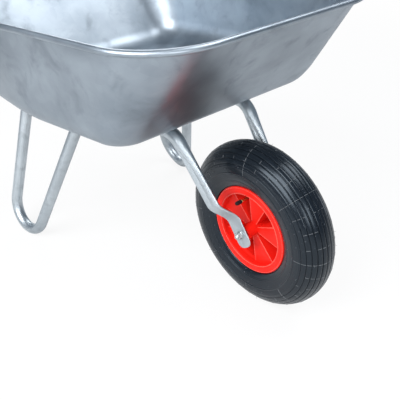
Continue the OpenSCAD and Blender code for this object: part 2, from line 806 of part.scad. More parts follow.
section_r = tyre_d / 2 - tyre_w / 2;
// The casing's lower half would close a little inside the bead seat
casing_close = 11.5;
casing_low = section_r - seat_r + casing_close;
seat_gap = 0.2;
bead_w = 9;
bead_in = seat_r + seat_gap;
bead_out = bead_in + 12;
bead_back = rim_w / 2 - rim_wall - seat_gap;
outer_foot = asin((rim_r + 2 - section_r) / casing_low);
// The inner wall ends where the bead is bead_out deep, or sooner to leave its neck thick
bead_neck = 3.3;
inner_foot = min(asin((bead_out - section_r) / (casing_low - tyre_wall)),
                 -acos((bead_back - bead_neck) / (tyre_w / 2 - tyre_wall)));

// The casing's section: round above the widest place, and deeper below it, towards the beads
function casing_point(t, inset) =
    [section_r + ((sin(t) > 0 ? tyre_w / 2 : casing_low) - inset) * sin(t),
     (tyre_w / 2 - inset) * cos(t)];

function casing_line(from, to, inset, steps) =
    [for (i = [0 : steps]) casing_point(from + (to - from) * i / steps, inset)];

// The tread reaches far down both shoulders, where its grooves are finer
tread_arc = 161;
groove_pitch = tread_arc / tread_grooves;
groove_half = groove_w / tyre_w * 180 / PI;
crown_half = tread_arc / 2;
side_share = 0.45;

// Tread outline, one angle at a time, dipping at each groove
function tread() = [for (i = [0 : tread_grooves - 1])
    let (
        mid = 90 + groove_pitch * (i - (tread_grooves - 1) / 2),
        share = side_share + (1 - side_share) * pow(sin(mid), 2)
    )
        for (edge = [[-1, 0], [-0.6, 1], [0.6, 1], [1, 0]])
            casing_point(mid + edge[0] * groove_half * share, edge[1] * groove_depth * share)];

// A raised line runs round each side wall, below the tread
side_ring_angle = -6;
side_ring_half = 0.9;
side_ring_h = 0.9;
side_ring = [for (step = [[-1, 0], [-0.5, 1], [0.5, 1], [1, 0]])
    casing_point(side_ring_angle + step[0] * side_ring_half, -step[1] * side_ring_h)];
side_ring_mirrored = [for (i = [3 : -1 : 0]) [side_ring[i].x, -side_ring[i].y]];

// Each bead is a thick foot on the rim's seat, against its flange
module tyre() color(rubber) on_axle() rotate_extrude($fn = 96) polygon(concat(
    [[bead_in, bead_back - bead_w], [bead_in, bead_back], [rim_r + 1, bead_back]],
    casing_line(outer_foot, side_ring_angle - 3, 0, 5), side_ring,
    casing_line(side_ring_angle + 3, 90 - crown_half, 0, 3), tread(),
    casing_line(90 + crown_half, 177 - side_ring_angle, 0, 3), side_ring_mirrored,
    casing_line(183 - side_ring_angle, 180 - outer_foot, 0, 5),
    [[rim_r + 1, -bead_back], [bead_in, -bead_back], [bead_in, bead_w - bead_back]],
    casing_line(180 - inner_foot, inner_foot, tyre_wall, 24)
));

// The inner tube fills the casing and reaches down to the valve's foot in the rim's well
valve_foot_t = 2;
tube_half_w = tyre_w / 2 - tyre_wall - 0.4;
tube_low = section_r - well_r - valve_foot_t - 0.4;

function inner_tube_point(t, wall) =
    [section_r + ((sin(t) > 0 ? tube_half_w : tube_low) - wall) * sin(t),
     (tube_half_w - wall) * sign(cos(t)) * pow(abs(cos(t)), sin(t) > 0 ? 1 : 1.8)];

module inner_tube() color([0.2, 0.2, 0.2]) on_axle() rotate_extrude($fn = 96) difference() {
    polygon([for (t = [0 : 12 : 348]) inner_tube_point(t, 0)]);
    polygon([for (t = [0 : 12 : 348]) inner_tube_point(t, inner_tube_wall)]);
}

// ---------------------------------------------------------------- valve

valve_bore = 3.2;
valve_bend_r = 6;
valve_leg_r = well_r - rim_wall - 12.5;
valve_tip = valve_bend_r + valve_len;
cap_over = 10;

// Children are drawn at the valve's hole in the well: Z outwards along the radius, X to
// the right, parallel to the axle
module at_valve() wheel_turned() rotate([0, 0, valve_angle])
    translate([0, 0, -valve_y]) rotate([0, 90, 0]) children();

module along_outer_leg(from) translate([from, 0, valve_leg_r]) rotate([0, 90, 0]) children();

module valve_stem() color(brass) on_axle() at_valve() difference() {
    union() {
        translate([0, 0, valve_leg_r + valve_bend_r])
            cylinder(h = well_r - valve_leg_r - valve_bend_r + valve_foot_t, d = valve_d);
        translate([0, 0, well_r]) cylinder(h = valve_foot_t, r = valve_d);
        translate([valve_bend_r, 0, valve_leg_r + valve_bend_r]) rotate([90, 180, 0])
            rotate_extrude(angle = 90) translate([valve_bend_r, 0]) circle(d = valve_d);
        along_outer_leg(valve_bend_r) cylinder(h = valve_len, d = valve_d);
    }
    along_outer_leg(valve_tip - 15) cylinder(h = 16, d = valve_bore);
}

module valve_nut() color(brass) on_axle() at_valve()
    translate([0, 0, well_r - rim_wall - 0.3 - 3]) difference() {
        hex_prism(valve_d + 5, 3);
        translate([0, 0, -1]) cylinder(h = 5, d = valve_d);
    }

module valve_core() color(zinc) on_axle() at_valve()
    along_outer_leg(valve_tip - 14.5) cylinder(h = 14, d = valve_bore);

module valve_cap() color([0.08, 0.08, 0.08]) on_axle() at_valve()
    along_outer_leg(valve_tip - cap_over) difference() {
        union() {
            cylinder(h = valve_cap_len - 1.5, d = valve_cap_d);
            cylinder(h = valve_cap_len, d = valve_cap_d - 2.5);
        }
        translate([0, 0, -1]) cylinder(h = cap_over + 1.3, r = valve_d / 2 + running_gap);
    }

tray();
frame_tube_left();
frame_tube_right();
leg_loop_left();
leg_loop_right();
front_cross_strap();
rear_cross_strap();
tray_bolts();
tray_washers();
tray_nuts();
leg_bolts();
leg_washers();
leg_nuts();
grip_left();
grip_right();
axle_bolt();
axle_washers();
axle_nut();
axle_sleeve();
thrust_spacer_left();
thrust_spacer_right();
bearing_left();
bearing_right();
rim();
tyre();
inner_tube();
valve_stem();
valve_nut();
valve_core();
valve_cap();
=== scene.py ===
import json
import math
import random

import bmesh
import bpy
import numpy as np
from mathutils import Matrix, Vector


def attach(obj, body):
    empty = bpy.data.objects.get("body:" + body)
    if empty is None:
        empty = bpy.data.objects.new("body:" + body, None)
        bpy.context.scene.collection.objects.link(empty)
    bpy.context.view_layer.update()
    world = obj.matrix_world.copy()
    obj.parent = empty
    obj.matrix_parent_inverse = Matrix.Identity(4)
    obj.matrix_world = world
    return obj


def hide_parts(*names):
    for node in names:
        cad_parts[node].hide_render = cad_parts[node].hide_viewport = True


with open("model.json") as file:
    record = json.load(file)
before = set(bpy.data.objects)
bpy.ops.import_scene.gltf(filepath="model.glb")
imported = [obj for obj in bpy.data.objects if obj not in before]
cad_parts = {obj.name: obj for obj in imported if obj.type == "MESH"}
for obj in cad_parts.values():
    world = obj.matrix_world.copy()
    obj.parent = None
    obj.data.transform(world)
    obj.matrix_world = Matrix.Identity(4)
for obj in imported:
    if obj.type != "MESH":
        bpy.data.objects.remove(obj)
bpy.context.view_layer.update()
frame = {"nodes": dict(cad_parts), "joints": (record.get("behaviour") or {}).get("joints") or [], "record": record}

mm = 0.001
wheelSpin = next(j for j in frame["joints"] if j["name"] == "wheel_spin")
axle = Vector(wheelSpin["pos_m"]) / mm    # the middle of the wheel, in millimetres
forward, leftward, upward = Vector((1, 0, 0)), Vector((0, 1, 0)), Vector((0, 0, 1))
print("loaded", len(frame["nodes"]), "solids, axle at", tuple(round(v, 1) for v in axle))


def cosd(angle):
    return math.cos(math.radians(angle))


def sind(angle):
    return math.sin(math.radians(angle))


def tand(angle):
    return math.tan(math.radians(angle))


def eased(t):    # a smooth step from 0 to 1
    t = min(1.0, max(0.0, t))
    return t * t * (3 - 2 * t)


class Wire:    # a socket that can stand in a sum
    def __init__(self, finish, socket):
        self.finish, self.socket = finish, socket

    def maths(self, operation, *values):
        return self.finish.node("ShaderNodeMath", {"operation": operation}, dict(enumerate(values)))

    def __add__(self, other):
        return self.maths("ADD", self, other)

    __radd__ = __add__

    def __sub__(self, other):
        return self.maths("SUBTRACT", self, other)

    def __rsub__(self, other):
        return self.maths("SUBTRACT", other, self)

    def __mul__(self, other):
        return self.maths("MULTIPLY", self, other)

    __rmul__ = __mul__

    def above(self, edge, soft):    # 0 below the edge, 1 above it
        return self.finish.node("ShaderNodeMapRange", {"interpolation_type": "SMOOTHSTEP"},
                                {"Value": self, "From Min": edge - soft, "From Max": edge + soft})


class Finish:    # a material made of nodes, or the world
    def __init__(self, name, kind=bpy.data.materials):
        self.made = kind.new(name)
        self.made.use_nodes = True
        self.tree = self.made.node_tree
        self.tree.nodes.clear()

    def node(self, kind, settings=None, inputs=None, output=0):
        made = self.tree.nodes.new(kind)
        for key, value in (settings or {}).items():
            setattr(made, key, value)
        for key, value in (inputs or {}).items():
            if isinstance(value, Wire):
                self.tree.links.new(value.socket, made.inputs[key])
            else:
                made.inputs[key].default_value = value
        return Wire(self, made.outputs[output]) if made.outputs else None

    def place(self):    # a point of the piece, in metres
        return self.node("ShaderNodeTexCoord", output="Object")

    def stretched(self, factors):
        return self.node("ShaderNodeVectorMath", {"operation": "MULTIPLY"},
                         {0: self.place(), 1: factors}, "Vector")

    def noise(self, scale, detail=3.0, rough=0.55, where=None, distortion=0.0):
        return self.node("ShaderNodeTexNoise", {"noise_dimensions": "3D"},
                         {"Vector": where or self.place(), "Scale": scale, "Detail": detail,
                          "Roughness": rough, "Distortion": distortion}, "Fac")

    def rgba(self, colour):
        return colour if isinstance(colour, Wire) else (*colour, 1.0)

    def blend(self, mask, low, high):    # a mix of two colours
        return self.node("ShaderNodeMix", {"data_type": "RGBA"},
                         {0: mask, 6: self.rgba(low), 7: self.rgba(high)}, 2)

    def range(self, value, low, high):    # a value from 0..1 laid between low and high
        return self.node("ShaderNodeMapRange", {}, {"Value": value, "To Min": low, "To Max": high})

    def bump(self, height, strength, distance):
        return self.node("ShaderNodeBump", {},
                         {"Strength": strength, "Distance": distance, "Height": height}, "Normal")

    def done(self, **sockets):
        shader = self.node("ShaderNodeBsdfPrincipled", {},
                           {key.replace("_", " "): value for key, value in sockets.items()})
        self.node("ShaderNodeOutputMaterial", {}, {"Surface": shader})
        return self.made


def piece(name, verts, faces, material, body, slotName, replaces=(), sharp=35):    # from millimetres
    mesh = bpy.data.meshes.new(name)
    mesh.from_pydata([tuple(c * mm for c in v) for v in verts], [], faces)
    work = bmesh.new()
    work.from_mesh(mesh)
    bmesh.ops.recalc_face_normals(work, faces=work.faces)
    work.to_mesh(mesh)
    work.free()
    mesh.shade_smooth()
    mesh.set_sharp_from_angle(angle=math.radians(sharp))
    made = bpy.data.objects.new(name, mesh)
    bpy.context.scene.collection.objects.link(made)
    mesh.materials.append(material)
    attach(made, body)
    if replaces:
        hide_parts(*replaces)
    return made


def skin(rings, capped=True):    # quads through rings of equally many points
    count = len(rings[0])
    verts = [tuple(p) for ring in rings for p in ring]
    faces = [(i * count + j, (i + 1) * count + j, (i + 1) * count + (j + 1) % count,
              i * count + (j + 1) % count)
             for i in range(len(rings) - 1) for j in range(count)]
    if capped:
        faces.append(tuple(range(count)))
        faces.append(tuple((len(rings) - 1) * count + j for j in reversed(range(count))))
    else:    # the last ring meets the first
        last = (len(rings) - 1) * count
        faces += [(last + j, j, (j + 1) % count, last + (j + 1) % count) for j in range(count)]
    return verts, faces


def joined(*meshes):
    verts, faces = [], []
    for v, f in meshes:
        faces += [tuple(i + len(verts) for i in face) for face in f]
        verts += v
    return verts, faces


def atAxle(r, angle, y):    # a point at a radius and an angle round the axle
    return (axle.x + r * cosd(angle), y, axle.z + r * sind(angle))


def aroundAxle(profile, steps):    # profile of (radius, y) points, turned about the axle
    return skin([[atAxle(r, 360 * k / steps, y) for r, y in profile] for k in range(steps)], capped=False)


def mirrored(mesh):
    verts, faces = mesh
    return [(x, -y, z) for x, y, z in verts], [tuple(reversed(f)) for f in faces]


def pair(name, solid, mesh):    # a left piece and the same piece mirrored
    for side, half in (("left", mesh), ("right", mirrored(mesh))):
        piece(name + side.title(), *half, tubeSteel, "frame", "galvanised_tube", [solid + "_" + side], 42)


def unit(v):
    return Vector(v).normalized()


def fromAxle(back, out, up):    # behind the axle, to the left, above the ground
    return Vector((axle.x - back, out, up))


# Noise is (scale, detail, roughness), an edge is (where, how soft), bump is (strength, distance)
steel = {
    "sheet": {"dark": (0.20, 0.235, 0.27), "light": (0.34, 0.385, 0.43), "rough": (0.34, 0.48),
              "spangle": 55, "specks": 14},
    "tube": {"dark": (0.36, 0.40, 0.43), "light": (0.58, 0.63, 0.66), "rough": (0.36, 0.5),
             "spangle": 90, "specks": 24},
    "cloud": (5, 3, 0.5), "edge": (0.5, 0.22), "bump": (0.05, 0.004),
    "streak": (8, 3, 0.5), "streakStretch": (1.0, 1.0, 1.5), "streakBend": 0.3,
    "speck": (4, 0.6), "speckBend": 0.5, "speckEdge": (0.62, 0.12), "speckDark": 0.6,
}


def galvanised(name, kind):
    s, t = steel, steel[kind]
    f = Finish(name)
    cloudy = f.noise(*s["cloud"])
    streak = f.noise(*s["streak"], f.stretched(s["streakStretch"]), s["streakBend"])
    crystal = f.node("ShaderNodeTexVoronoi", {}, {"Vector": f.place(), "Scale": t["spangle"]}, "Color")
    grain = f.node("ShaderNodeSeparateColor", {}, {"Color": crystal}, "Red")
    shade = cloudy * 0.55 + streak * 0.45 + (grain - 0.5) * 0.04
    base = f.blend(shade.above(*s["edge"]), t["dark"], t["light"])
    dull = f.noise(t["specks"], *s["speck"], None, s["speckBend"]).above(*s["speckEdge"])
    base = f.blend(dull * 0.35, base, tuple(c * s["speckDark"] for c in t["dark"]))
    rough = f.range(cloudy * 0.6 + streak * 0.3 + grain * 0.1, *t["rough"]) + dull * 0.08
    return f.done(Base_Color=base, Metallic=1.0, Roughness=rough, Normal=f.bump(streak, *s["bump"]))


zinc = {
    "dark": (0.36, 0.38, 0.39), "light": (0.58, 0.60, 0.60), "rough": (0.2, 0.42), "metal": 0.95,
    "worn": (35, 4, 0.6), "edge": (0.52, 0.2), "fine": (600, 2, 0.5), "bump": (0.08, 0.0005),
}


def zincPlate():
    t = zinc
    f = Finish("zincPlate")
    worn, fine = f.noise(*t["worn"]), f.noise(*t["fine"])
    base = f.blend(worn.above(*t["edge"]), t["dark"], t["light"])
    rough = f.range(worn * 0.6 + fine * 0.4, *t["rough"])
    return f.done(Base_Color=base, Metallic=t["metal"], Roughness=rough, Normal=f.bump(fine, *t["bump"]))


# Finishes with one grain: two colours and two roughnesses that it runs between
plainFinishes = {
    "oiledSteel": {"grain": (500, 2, 0.5), "dark": (0.42, 0.42, 0.42), "light": (0.6, 0.6, 0.59),
                   "rough": (0.18, 0.32), "also": {"Metallic": 1.0}},
    "valveBrass": {"grain": (180, 3, 0.6), "dark": (0.42, 0.27, 0.09), "light": (0.75, 0.55, 0.24),
                   "rough": (0.24, 0.42), "also": {"Metallic": 1.0}},
    # paler red for the beads on the rim's folds and flanges: painted highlight lines
    "redPaintedHighlight": {"grain": (90, 4, 0.6), "dark": (0.74, 0.05, 0.035), "light": (0.84, 0.16, 0.12),
                "rough": (0.2, 0.34), "also": {}},
    "capPlastic": {"grain": (400, 2, 0.5), "dark": (0.006, 0.006, 0.007), "light": (0.014, 0.014, 0.015),
                   "rough": (0.4, 0.55), "also": {"Specular_IOR_Level": 0.25}},
}


def plainFinish(name):
    t = plainFinishes[name]
    f = Finish(name)
    grain = f.noise(*t["grain"])
    return f.done(Base_Color=f.blend(grain, t["dark"], t["light"]), Roughness=f.range(grain, *t["rough"]),
                  **t["also"])


redParts = {
    # lift is the strength of a painted glow: the red plastic gives off light in its own colour, though it is no
    # lamp
    "deep": (0.60, 0.010, 0.006), "bright": (0.68, 0.015, 0.008), "dust": (0.8, 0.3, 0.24),
    "rough": (0.3, 0.4), "sheen": 0.1, "lift": 0.1, "cloud": (9, 3, 0.5), "peel": (120, 2, 0.5),
    "dusty": (60, 5, 0.7), "dustEdge": (0.68, 0.07), "bump": (0.05, 0.0006),
}


def redPlastic():
    t = redParts
    f = Finish("redPlastic")
    cloudy, peel = f.noise(*t["cloud"]), f.noise(*t["peel"])
    dust = f.noise(*t["dusty"]).above(*t["dustEdge"])
    base = f.blend(dust * 0.05, f.blend(cloudy, t["deep"], t["bright"]), t["dust"])
    # painted glow: emission of the red's own colour at strength lift lightens the red and its shaded pockets
    return f.done(Base_Color=base, Roughness=f.range(cloudy, *t["rough"]) + dust * 0.1,
                  Specular_IOR_Level=t["sheen"], Emission_Color=base, Emission_Strength=t["lift"],
                  Normal=f.bump(peel, *t["bump"]))


rubber = {
    "dark": (0.003, 0.004, 0.006), "light": (0.006, 0.009, 0.013), "dust": (0.04, 0.045, 0.052),
    "fleck": (0.16, 0.17, 0.19), "rough": (0.19, 0.29), "sheen": 0.36, "sheenTint": (0.75, 0.88, 1.0, 1.0),
    "cloud": (7, 4, 0.6), "fine": (260, 3, 0.6), "dusty": (22, 6, 0.75), "dustEdge": (0.66, 0.1),
    "flecks": (230, 1, 0.5), "fleckEdge": (0.75, 0.02), "bump": (0.1, 0.0012),
    # the softer rubbers: two colours and two roughnesses each
    "flash": ((0.05, 0.055, 0.06), (0.16, 0.17, 0.18), 0.4, 0.6),
    "grip": ((0.012, 0.012, 0.013), (0.028, 0.028, 0.03), 0.45, 0.62),
    "inner": ((0.016, 0.016, 0.016), (0.03, 0.03, 0.03), 0.55, 0.7),
    "softCloud": (30, 4, 0.6), "softFine": (500, 2, 0.5), "softBump": (0.12, 0.0006),
}


def tyreRubber():
    t = rubber
    f = Finish("tyreRubber")
    cloudy, fine = f.noise(*t["cloud"]), f.noise(*t["fine"])
    dusty = f.noise(*t["dusty"]).above(*t["dustEdge"])
    fleck = f.noise(*t["flecks"]).above(*t["fleckEdge"])
    base = f.blend(cloudy, t["dark"], t["light"])
    base = f.blend(dusty * 0.1, base, t["dust"])
    base = f.blend(fleck * 0.4, base, t["fleck"])
    rough = f.range(cloudy * 0.5 + fine * 0.5, *t["rough"]) + dusty * 0.08
    return f.done(Base_Color=base, Roughness=rough, Specular_IOR_Level=t["sheen"],
                  Specular_Tint=t["sheenTint"], Normal=f.bump(fine * 0.5 + cloudy, *t["bump"]))


def softRubber(name, kind):
    dark, light, low, high = rubber[kind]
    f = Finish(name)
    cloudy, fine = f.noise(*rubber["softCloud"]), f.noise(*rubber["softFine"])
    base = f.blend(cloudy * 0.7 + fine * 0.3, dark, light)
    return f.done(Base_Color=base, Roughness=f.range(fine, low, high),
                  Normal=f.bump(fine, *rubber["softBump"]))


sheetSteel, tubeSteel = galvanised("sheetSteel", "sheet"), galvanised("tubeSteel", "tube")
plated, red, tyreBlack = zincPlate(), redPlastic(), tyreRubber()
brass, capBlack, paleRedHighlight = (plainFinish(name) for name in ("valveBrass", "capPlastic", "redPaintedHighlight"))
flashGrey = softRubber("flashRubber", "flash")
print("finishes made")

# Each solid of the frame takes the finish of its slot
finishOf = {
    "galvanised_sheet": sheetSteel, "galvanised_tube": tubeSteel, "zinc_plate": plated,
    "plain_steel": plainFinish("oiledSteel"), "red_plastic": red, "tyre_rubber": tyreBlack,
    "tube_rubber": softRubber("tubeRubber", "inner"), "grip_rubber": softRubber("gripRubber", "grip"),
    "valve_brass": brass, "cap_plastic": capBlack,
}
for part in frame["record"]["subparts"]:
    solid = frame["nodes"][part["node"]]
    solid.data.materials.clear()
    solid.data.materials.append(finishOf[part["material_slot"]])
print("solids finished")


tray = {
    "under": 437, "depth": 225, "sheet": 1.4, "floorBack": 143, "floorLength": 510,
    "frontWidth": 470, "middleWidth": 536, "rearWidth": 510, "middleAt": 250,
    "leanFront": 40, "leanSide": 7, "leanRear": 30, "foldRadius": 65, "cornerRadius": 40,
    "edgeCornerRadius": 150, "sideRadius": 600, "rollRadius": 6,
    "foldTop": 82, "rollFrom": 225, "rollTo": 495, "spacing": 26,
    "foldSteps": 18, "wallSteps": 26, "cornerSteps": 20, "sideSteps": 8, "rollSteps": 14,
}


def wallOut(h, lean, r):    # how far a wall has moved outwards at height h
    arcHeight = r * (1 - sind(lean))
    if h < arcHeight:
        return math.sqrt(max(0.0, r * r - (r - h) ** 2))
    return r * cosd(lean) + (h - arcHeight) * tand(lean)


def planCorners(h, r, grow):    # the six corners of the tray's plan at height h
    t = tray
    slopeFront = (t["middleWidth"] - t["frontWidth"]) / 2 / t["middleAt"]
    slopeRear = (t["middleWidth"] - t["rearWidth"]) / 2 / (t["floorLength"] - t["middleAt"])
    front = -t["floorBack"] + wallOut(h, t["leanFront"], r) + grow
    rear = -t["floorBack"] - t["floorLength"] - wallOut(h, t["leanRear"], r) - grow
    side = wallOut(h, t["leanSide"], r) + grow
    atFront = t["frontWidth"] / 2 + side * math.hypot(1, slopeFront)
    atMiddle = t["middleWidth"] / 2 + side * math.hypot(1, slopeRear)
    frontY = atFront - (front + t["floorBack"]) * slopeFront
    rearY = atMiddle + (rear + t["floorBack"] + t["middleAt"]) * slopeRear
    middle = (-t["floorBack"] - t["middleAt"], t["middleWidth"] / 2 + side)
    half = [(front, frontY), middle, (rear, rearY)]
    return [Vector(p) for p in half + [(x, -y) for x, y in reversed(half)]]


def cornerArc(a, b, c, r, steps):
    along, away = (b - a).normalized(), (c - b).normalized()
    bend = math.acos(max(-1, min(1, along.dot(away))))
    left = Vector((-along.y, along.x))
    hand = 1 if away.dot(left) > 0 else -1
    centre = b - along * r * math.tan(bend / 2) + left * hand * r
    return [centre + r * (along * math.sin(bend * i / steps) - left * hand * math.cos(bend * i / steps))
            for i in range(steps + 1)]


def trayRing(h, r, cornerRadius, grow):    # the plan's outline with its corners rounded
    t = tray
    corners = planCorners(h, r, grow)
    ring = []
    for i in range(6):
        wide = i in (1, 4)    # the blunt corners half-way along the sides
        ring += cornerArc(corners[i - 1], corners[i], corners[(i + 1) % 6],
                          t["sideRadius"] if wide else cornerRadius,
                          t["sideSteps"] if wide else t["cornerSteps"])
    return ring


def trayMesh():
    t = tray
    outer, inner, sheet = t["foldRadius"], t["foldRadius"] - t["sheet"], t["sheet"]
    reach = wallOut(t["depth"], t["leanFront"], outer)

    def cornerAt(h):    # the corners open out as the front wall leans away
        share = wallOut(h, t["leanFront"], outer) / reach
        return t["cornerRadius"] + (t["edgeCornerRadius"] - t["cornerRadius"]) * share

    # Outside from the floor up, round the rolled edge, and down the inside
    turns = np.linspace(0, t["foldTop"], t["foldSteps"])
    folds = [outer * (1 - cosd(a)) for a in turns]
    foot = folds[-1]
    walls = [foot + (t["depth"] - foot) * k / t["wallSteps"] for k in range(1, t["wallSteps"])]
    specs = [(h, outer, cornerAt(h), 0, 0) for h in folds + walls]
    specs += [(t["depth"], outer, t["edgeCornerRadius"], t["rollRadius"] * sind(a),
               t["rollRadius"] * (1 + cosd(a)) - sheet)
              for a in np.linspace(t["rollFrom"], t["rollTo"], t["rollSteps"])]
    innerFolds = [inner * (1 - cosd(a)) for a in reversed(turns)]
    specs += [(h, inner, cornerAt(h), sheet, 0) for h in walls[::-1] + innerFolds]

    counts = None
    rings = []
    for h, r, cornerRadius, lift, grow in specs:
        ring = trayRing(h, r, cornerRadius, grow)
        lines = list(zip(ring, ring[1:] + ring[:1]))
        counts = counts or [max(1, round((q - p).length / t["spacing"])) for p, q in lines]
        points = [p.lerp(q, k / n) for (p, q), n in zip(lines, counts) for k in range(n)]
        rings.append([(axle.x + m.x, m.y, t["under"] + h + lift) for m in points])
    return skin(rings)


trayPiece = piece("trayPan", *trayMesh(), sheetSteel, "frame", "galvanised_sheet", ["tray"], 50)
print("tray made", len(trayPiece.data.polygons), "faces")


tube = {
    "radius": 15, "height": 419, "bendBack": 146, "bendOut": 108, "spread": 7.5,
    "underRun": 640, "riseRun": 285, "riseAngle": 22, "gripRun": 193, "gripAngle": 8,
    "forkBend": 50, "handleBend": 110, "plate": 4, "plateY": 60.5, "noseLength": 31,
    "noseCorner": 16, "crankStart": 89, "crankEnd": 34, "bendStep": 3, "armStart": 4,
    "armSteps": 30, "crankSteps": 24, "noseSteps": 14, "armFirst": 0.03, "crankFirst": 0.04,
    "crankCrease": 0.5, "crankFade": 0.7, "creaseShape": 1.7,
    # along the arm: how far down, the share of the thickness left, and how deep the crease is
    "squash": [(0, 1, 0), (0.08, 0.86, 0.25), (0.25, 0.64, 0.5), (0.45, 0.52, 0.6),
               (0.65, 0.46, 0.6), (0.85, 0.38, 0.55), (1, 0.33, 0.5)],
}
tubeSide = Vector((sind(tube["spread"]), cosd(tube["spread"]), 0))


def squashed(r, wide):    # the other half width, because the wall keeps its length
    return wide + math.pi * (r - wide) / 2


# A squashed ring of the tube, with a crease in both flats
def oval(point, along, out, wide, deep, crease=0.0, sides=64):
    across = unit(Vector(along).cross(Vector(out)))
    flat = 1 - min(1, wide / deep)
    steep = 1 / math.sqrt(max(1e-9, 1 - flat ** 2))
    ring = []
    for j in range(sides):
        c, s = cosd(360 * j / sides), sind(360 * j / sides)
        reach = math.copysign(min(1, steep * abs(c)), c) if abs(c) > 1e-9 else 0
        dip = crease * max(0.0, 1 - abs(s) / flat) ** tube["creaseShape"] if flat > 0.02 else 0
        ring.append(Vector(point) + Vector(out) * wide * reach * (1 - dip) + across * deep * s)
    return ring


def arcTurns(turn, step):    # (cosine, sine) of each station round an arc
    steps = math.ceil(math.degrees(turn) / step)
    return [(math.cos(turn * i / steps), math.sin(turn * i / steps)) for i in range(steps + 1)]


def bendStations(a, b, c, radius, step):    # (point, direction) round the bend at b
    along, away = unit(b - a), unit(c - b)
    turn = along.angle(away)
    inwards = unit((c - b) - along * (c - b).dot(along))
    start = b - along * radius * math.tan(turn / 2)
    return [(start + radius * (along * s + inwards * (1 - c)), along * c + inwards * s)
            for c, s in arcTurns(turn, step)]


def pathStations(path, radii, step, spacing=40):
    out = [(path[0], unit(path[1] - path[0]))]
    for i in range(1, len(path) - 1):
        arc = bendStations(path[i - 1], path[i], path[i + 1], radii[i - 1], step)
        gap = (arc[0][0] - out[-1][0]).length
        pieces = max(1, round(gap / spacing))
        out += [(out[-1][0].lerp(arc[0][0], k / pieces), arc[0][1]) for k in range(1, pieces)]
        out += arc
    out.append((path[-1], unit(path[-1] - path[-2])))
    return out


def tubePlane(back, out, up):    # a point of the left tube's own plane
    s, c = sind(tube["spread"]), cosd(tube["spread"])
    return Vector((axle.x - tube["bendBack"] - back * c + out * s, tube["bendOut"] + back * s + out * c, up))


def frameTubeMesh():
    t = tube
    drop = t["height"] - axle.z
    armLength = math.hypot(t["bendBack"], drop)
    armTop = t["forkBend"] * math.tan(math.atan2(drop, t["bendBack"]) / 2) + t["armStart"]
    riseStart = Vector((t["underRun"], 0, t["height"]))
    riseStop = riseStart + Vector((t["riseRun"], 0, t["riseRun"] * tand(t["riseAngle"])))
    handleDir = Vector((cosd(t["gripAngle"]), 0, sind(t["gripAngle"])))
    end = riseStop + t["gripRun"] * handleDir
    down = unit((-t["bendBack"] / cosd(t["spread"]), 0, -drop))
    corner = Vector((0, 0, t["height"]))
    path = [tubePlane(*p) for p in (end, riseStop, riseStart, corner, corner + down * armTop)]
    stations = pathStations(path, [t["handleBend"], t["handleBend"], t["forkBend"]], t["bendStep"])
    armDir = Vector((t["bendBack"] / armLength, 0, -drop / armLength))
    base = fromAxle(t["bendBack"], 0, t["height"])
    crankTop, crankFoot = armLength - t["crankStart"], armLength - t["crankEnd"]

    def armPoint(s, y):
        return base + armDir * s + leftward * y

    def planeY(s):
        return t["bendOut"] - s * armDir.x * tand(t["spread"])

    shares, lefts, grooves = zip(*t["squash"])
    rings = [oval(p, d, tubeSide, t["radius"], t["radius"]) for p, d in stations]
    for share in np.linspace(t["armFirst"], 1, t["armSteps"]):
        s = armTop + (crankTop - armTop) * share
        wide = float(np.interp(share, shares, lefts)) * t["radius"]
        groove = float(np.interp(share, shares, grooves))
        deep = squashed(t["radius"], wide)
        rings.append(oval(armPoint(s, planeY(s)), armDir, leftward, wide, deep, groove))
    thick = t["radius"] * t["squash"][-1][1]
    for q in np.linspace(t["crankFirst"], 1, t["crankSteps"]):
        s = crankTop + (crankFoot - crankTop) * q
        share = eased(q)
        wide = thick + (t["plate"] / 2 - thick) * share
        rings.append(oval(armPoint(s, planeY(crankTop) * (1 - share) + t["plateY"] * share), armDir, leftward,
                          wide, squashed(t["radius"], wide), t["crankCrease"] * (1 - q) ** t["crankFade"]))
    plateDeep = squashed(t["radius"], t["plate"] / 2)
    for a in np.linspace(0, 90, t["noseSteps"]):
        s = armLength + t["noseLength"] - t["noseCorner"] + t["noseCorner"] * sind(a)
        rings.append(oval(armPoint(s, t["plateY"]), armDir, leftward, t["plate"] / 2,
                          plateDeep - t["noseCorner"] * (1 - cosd(a))))
    return skin(rings)


pair("frameTube", "frame_tube", frameTubeMesh())
print("frame tubes made")


leg = {
    "radius": 15, "wall": 1.5, "front": 287, "rear": 522, "foot": 541, "out": 107, "bend": 66,
    "squash": 50, "tabGap": 1, "tabDrop": 3, "bendStep": 4, "squashFirst": 0.05, "squashSteps": 14,
    "tabAngles": (84, 76, 66, 54, 40, 26, 12, 0),
    "flattening": [(0, None), (0.25, 0.4), (0.6, 0.75), (1, 1)],    # the tab's own thickness comes first
}


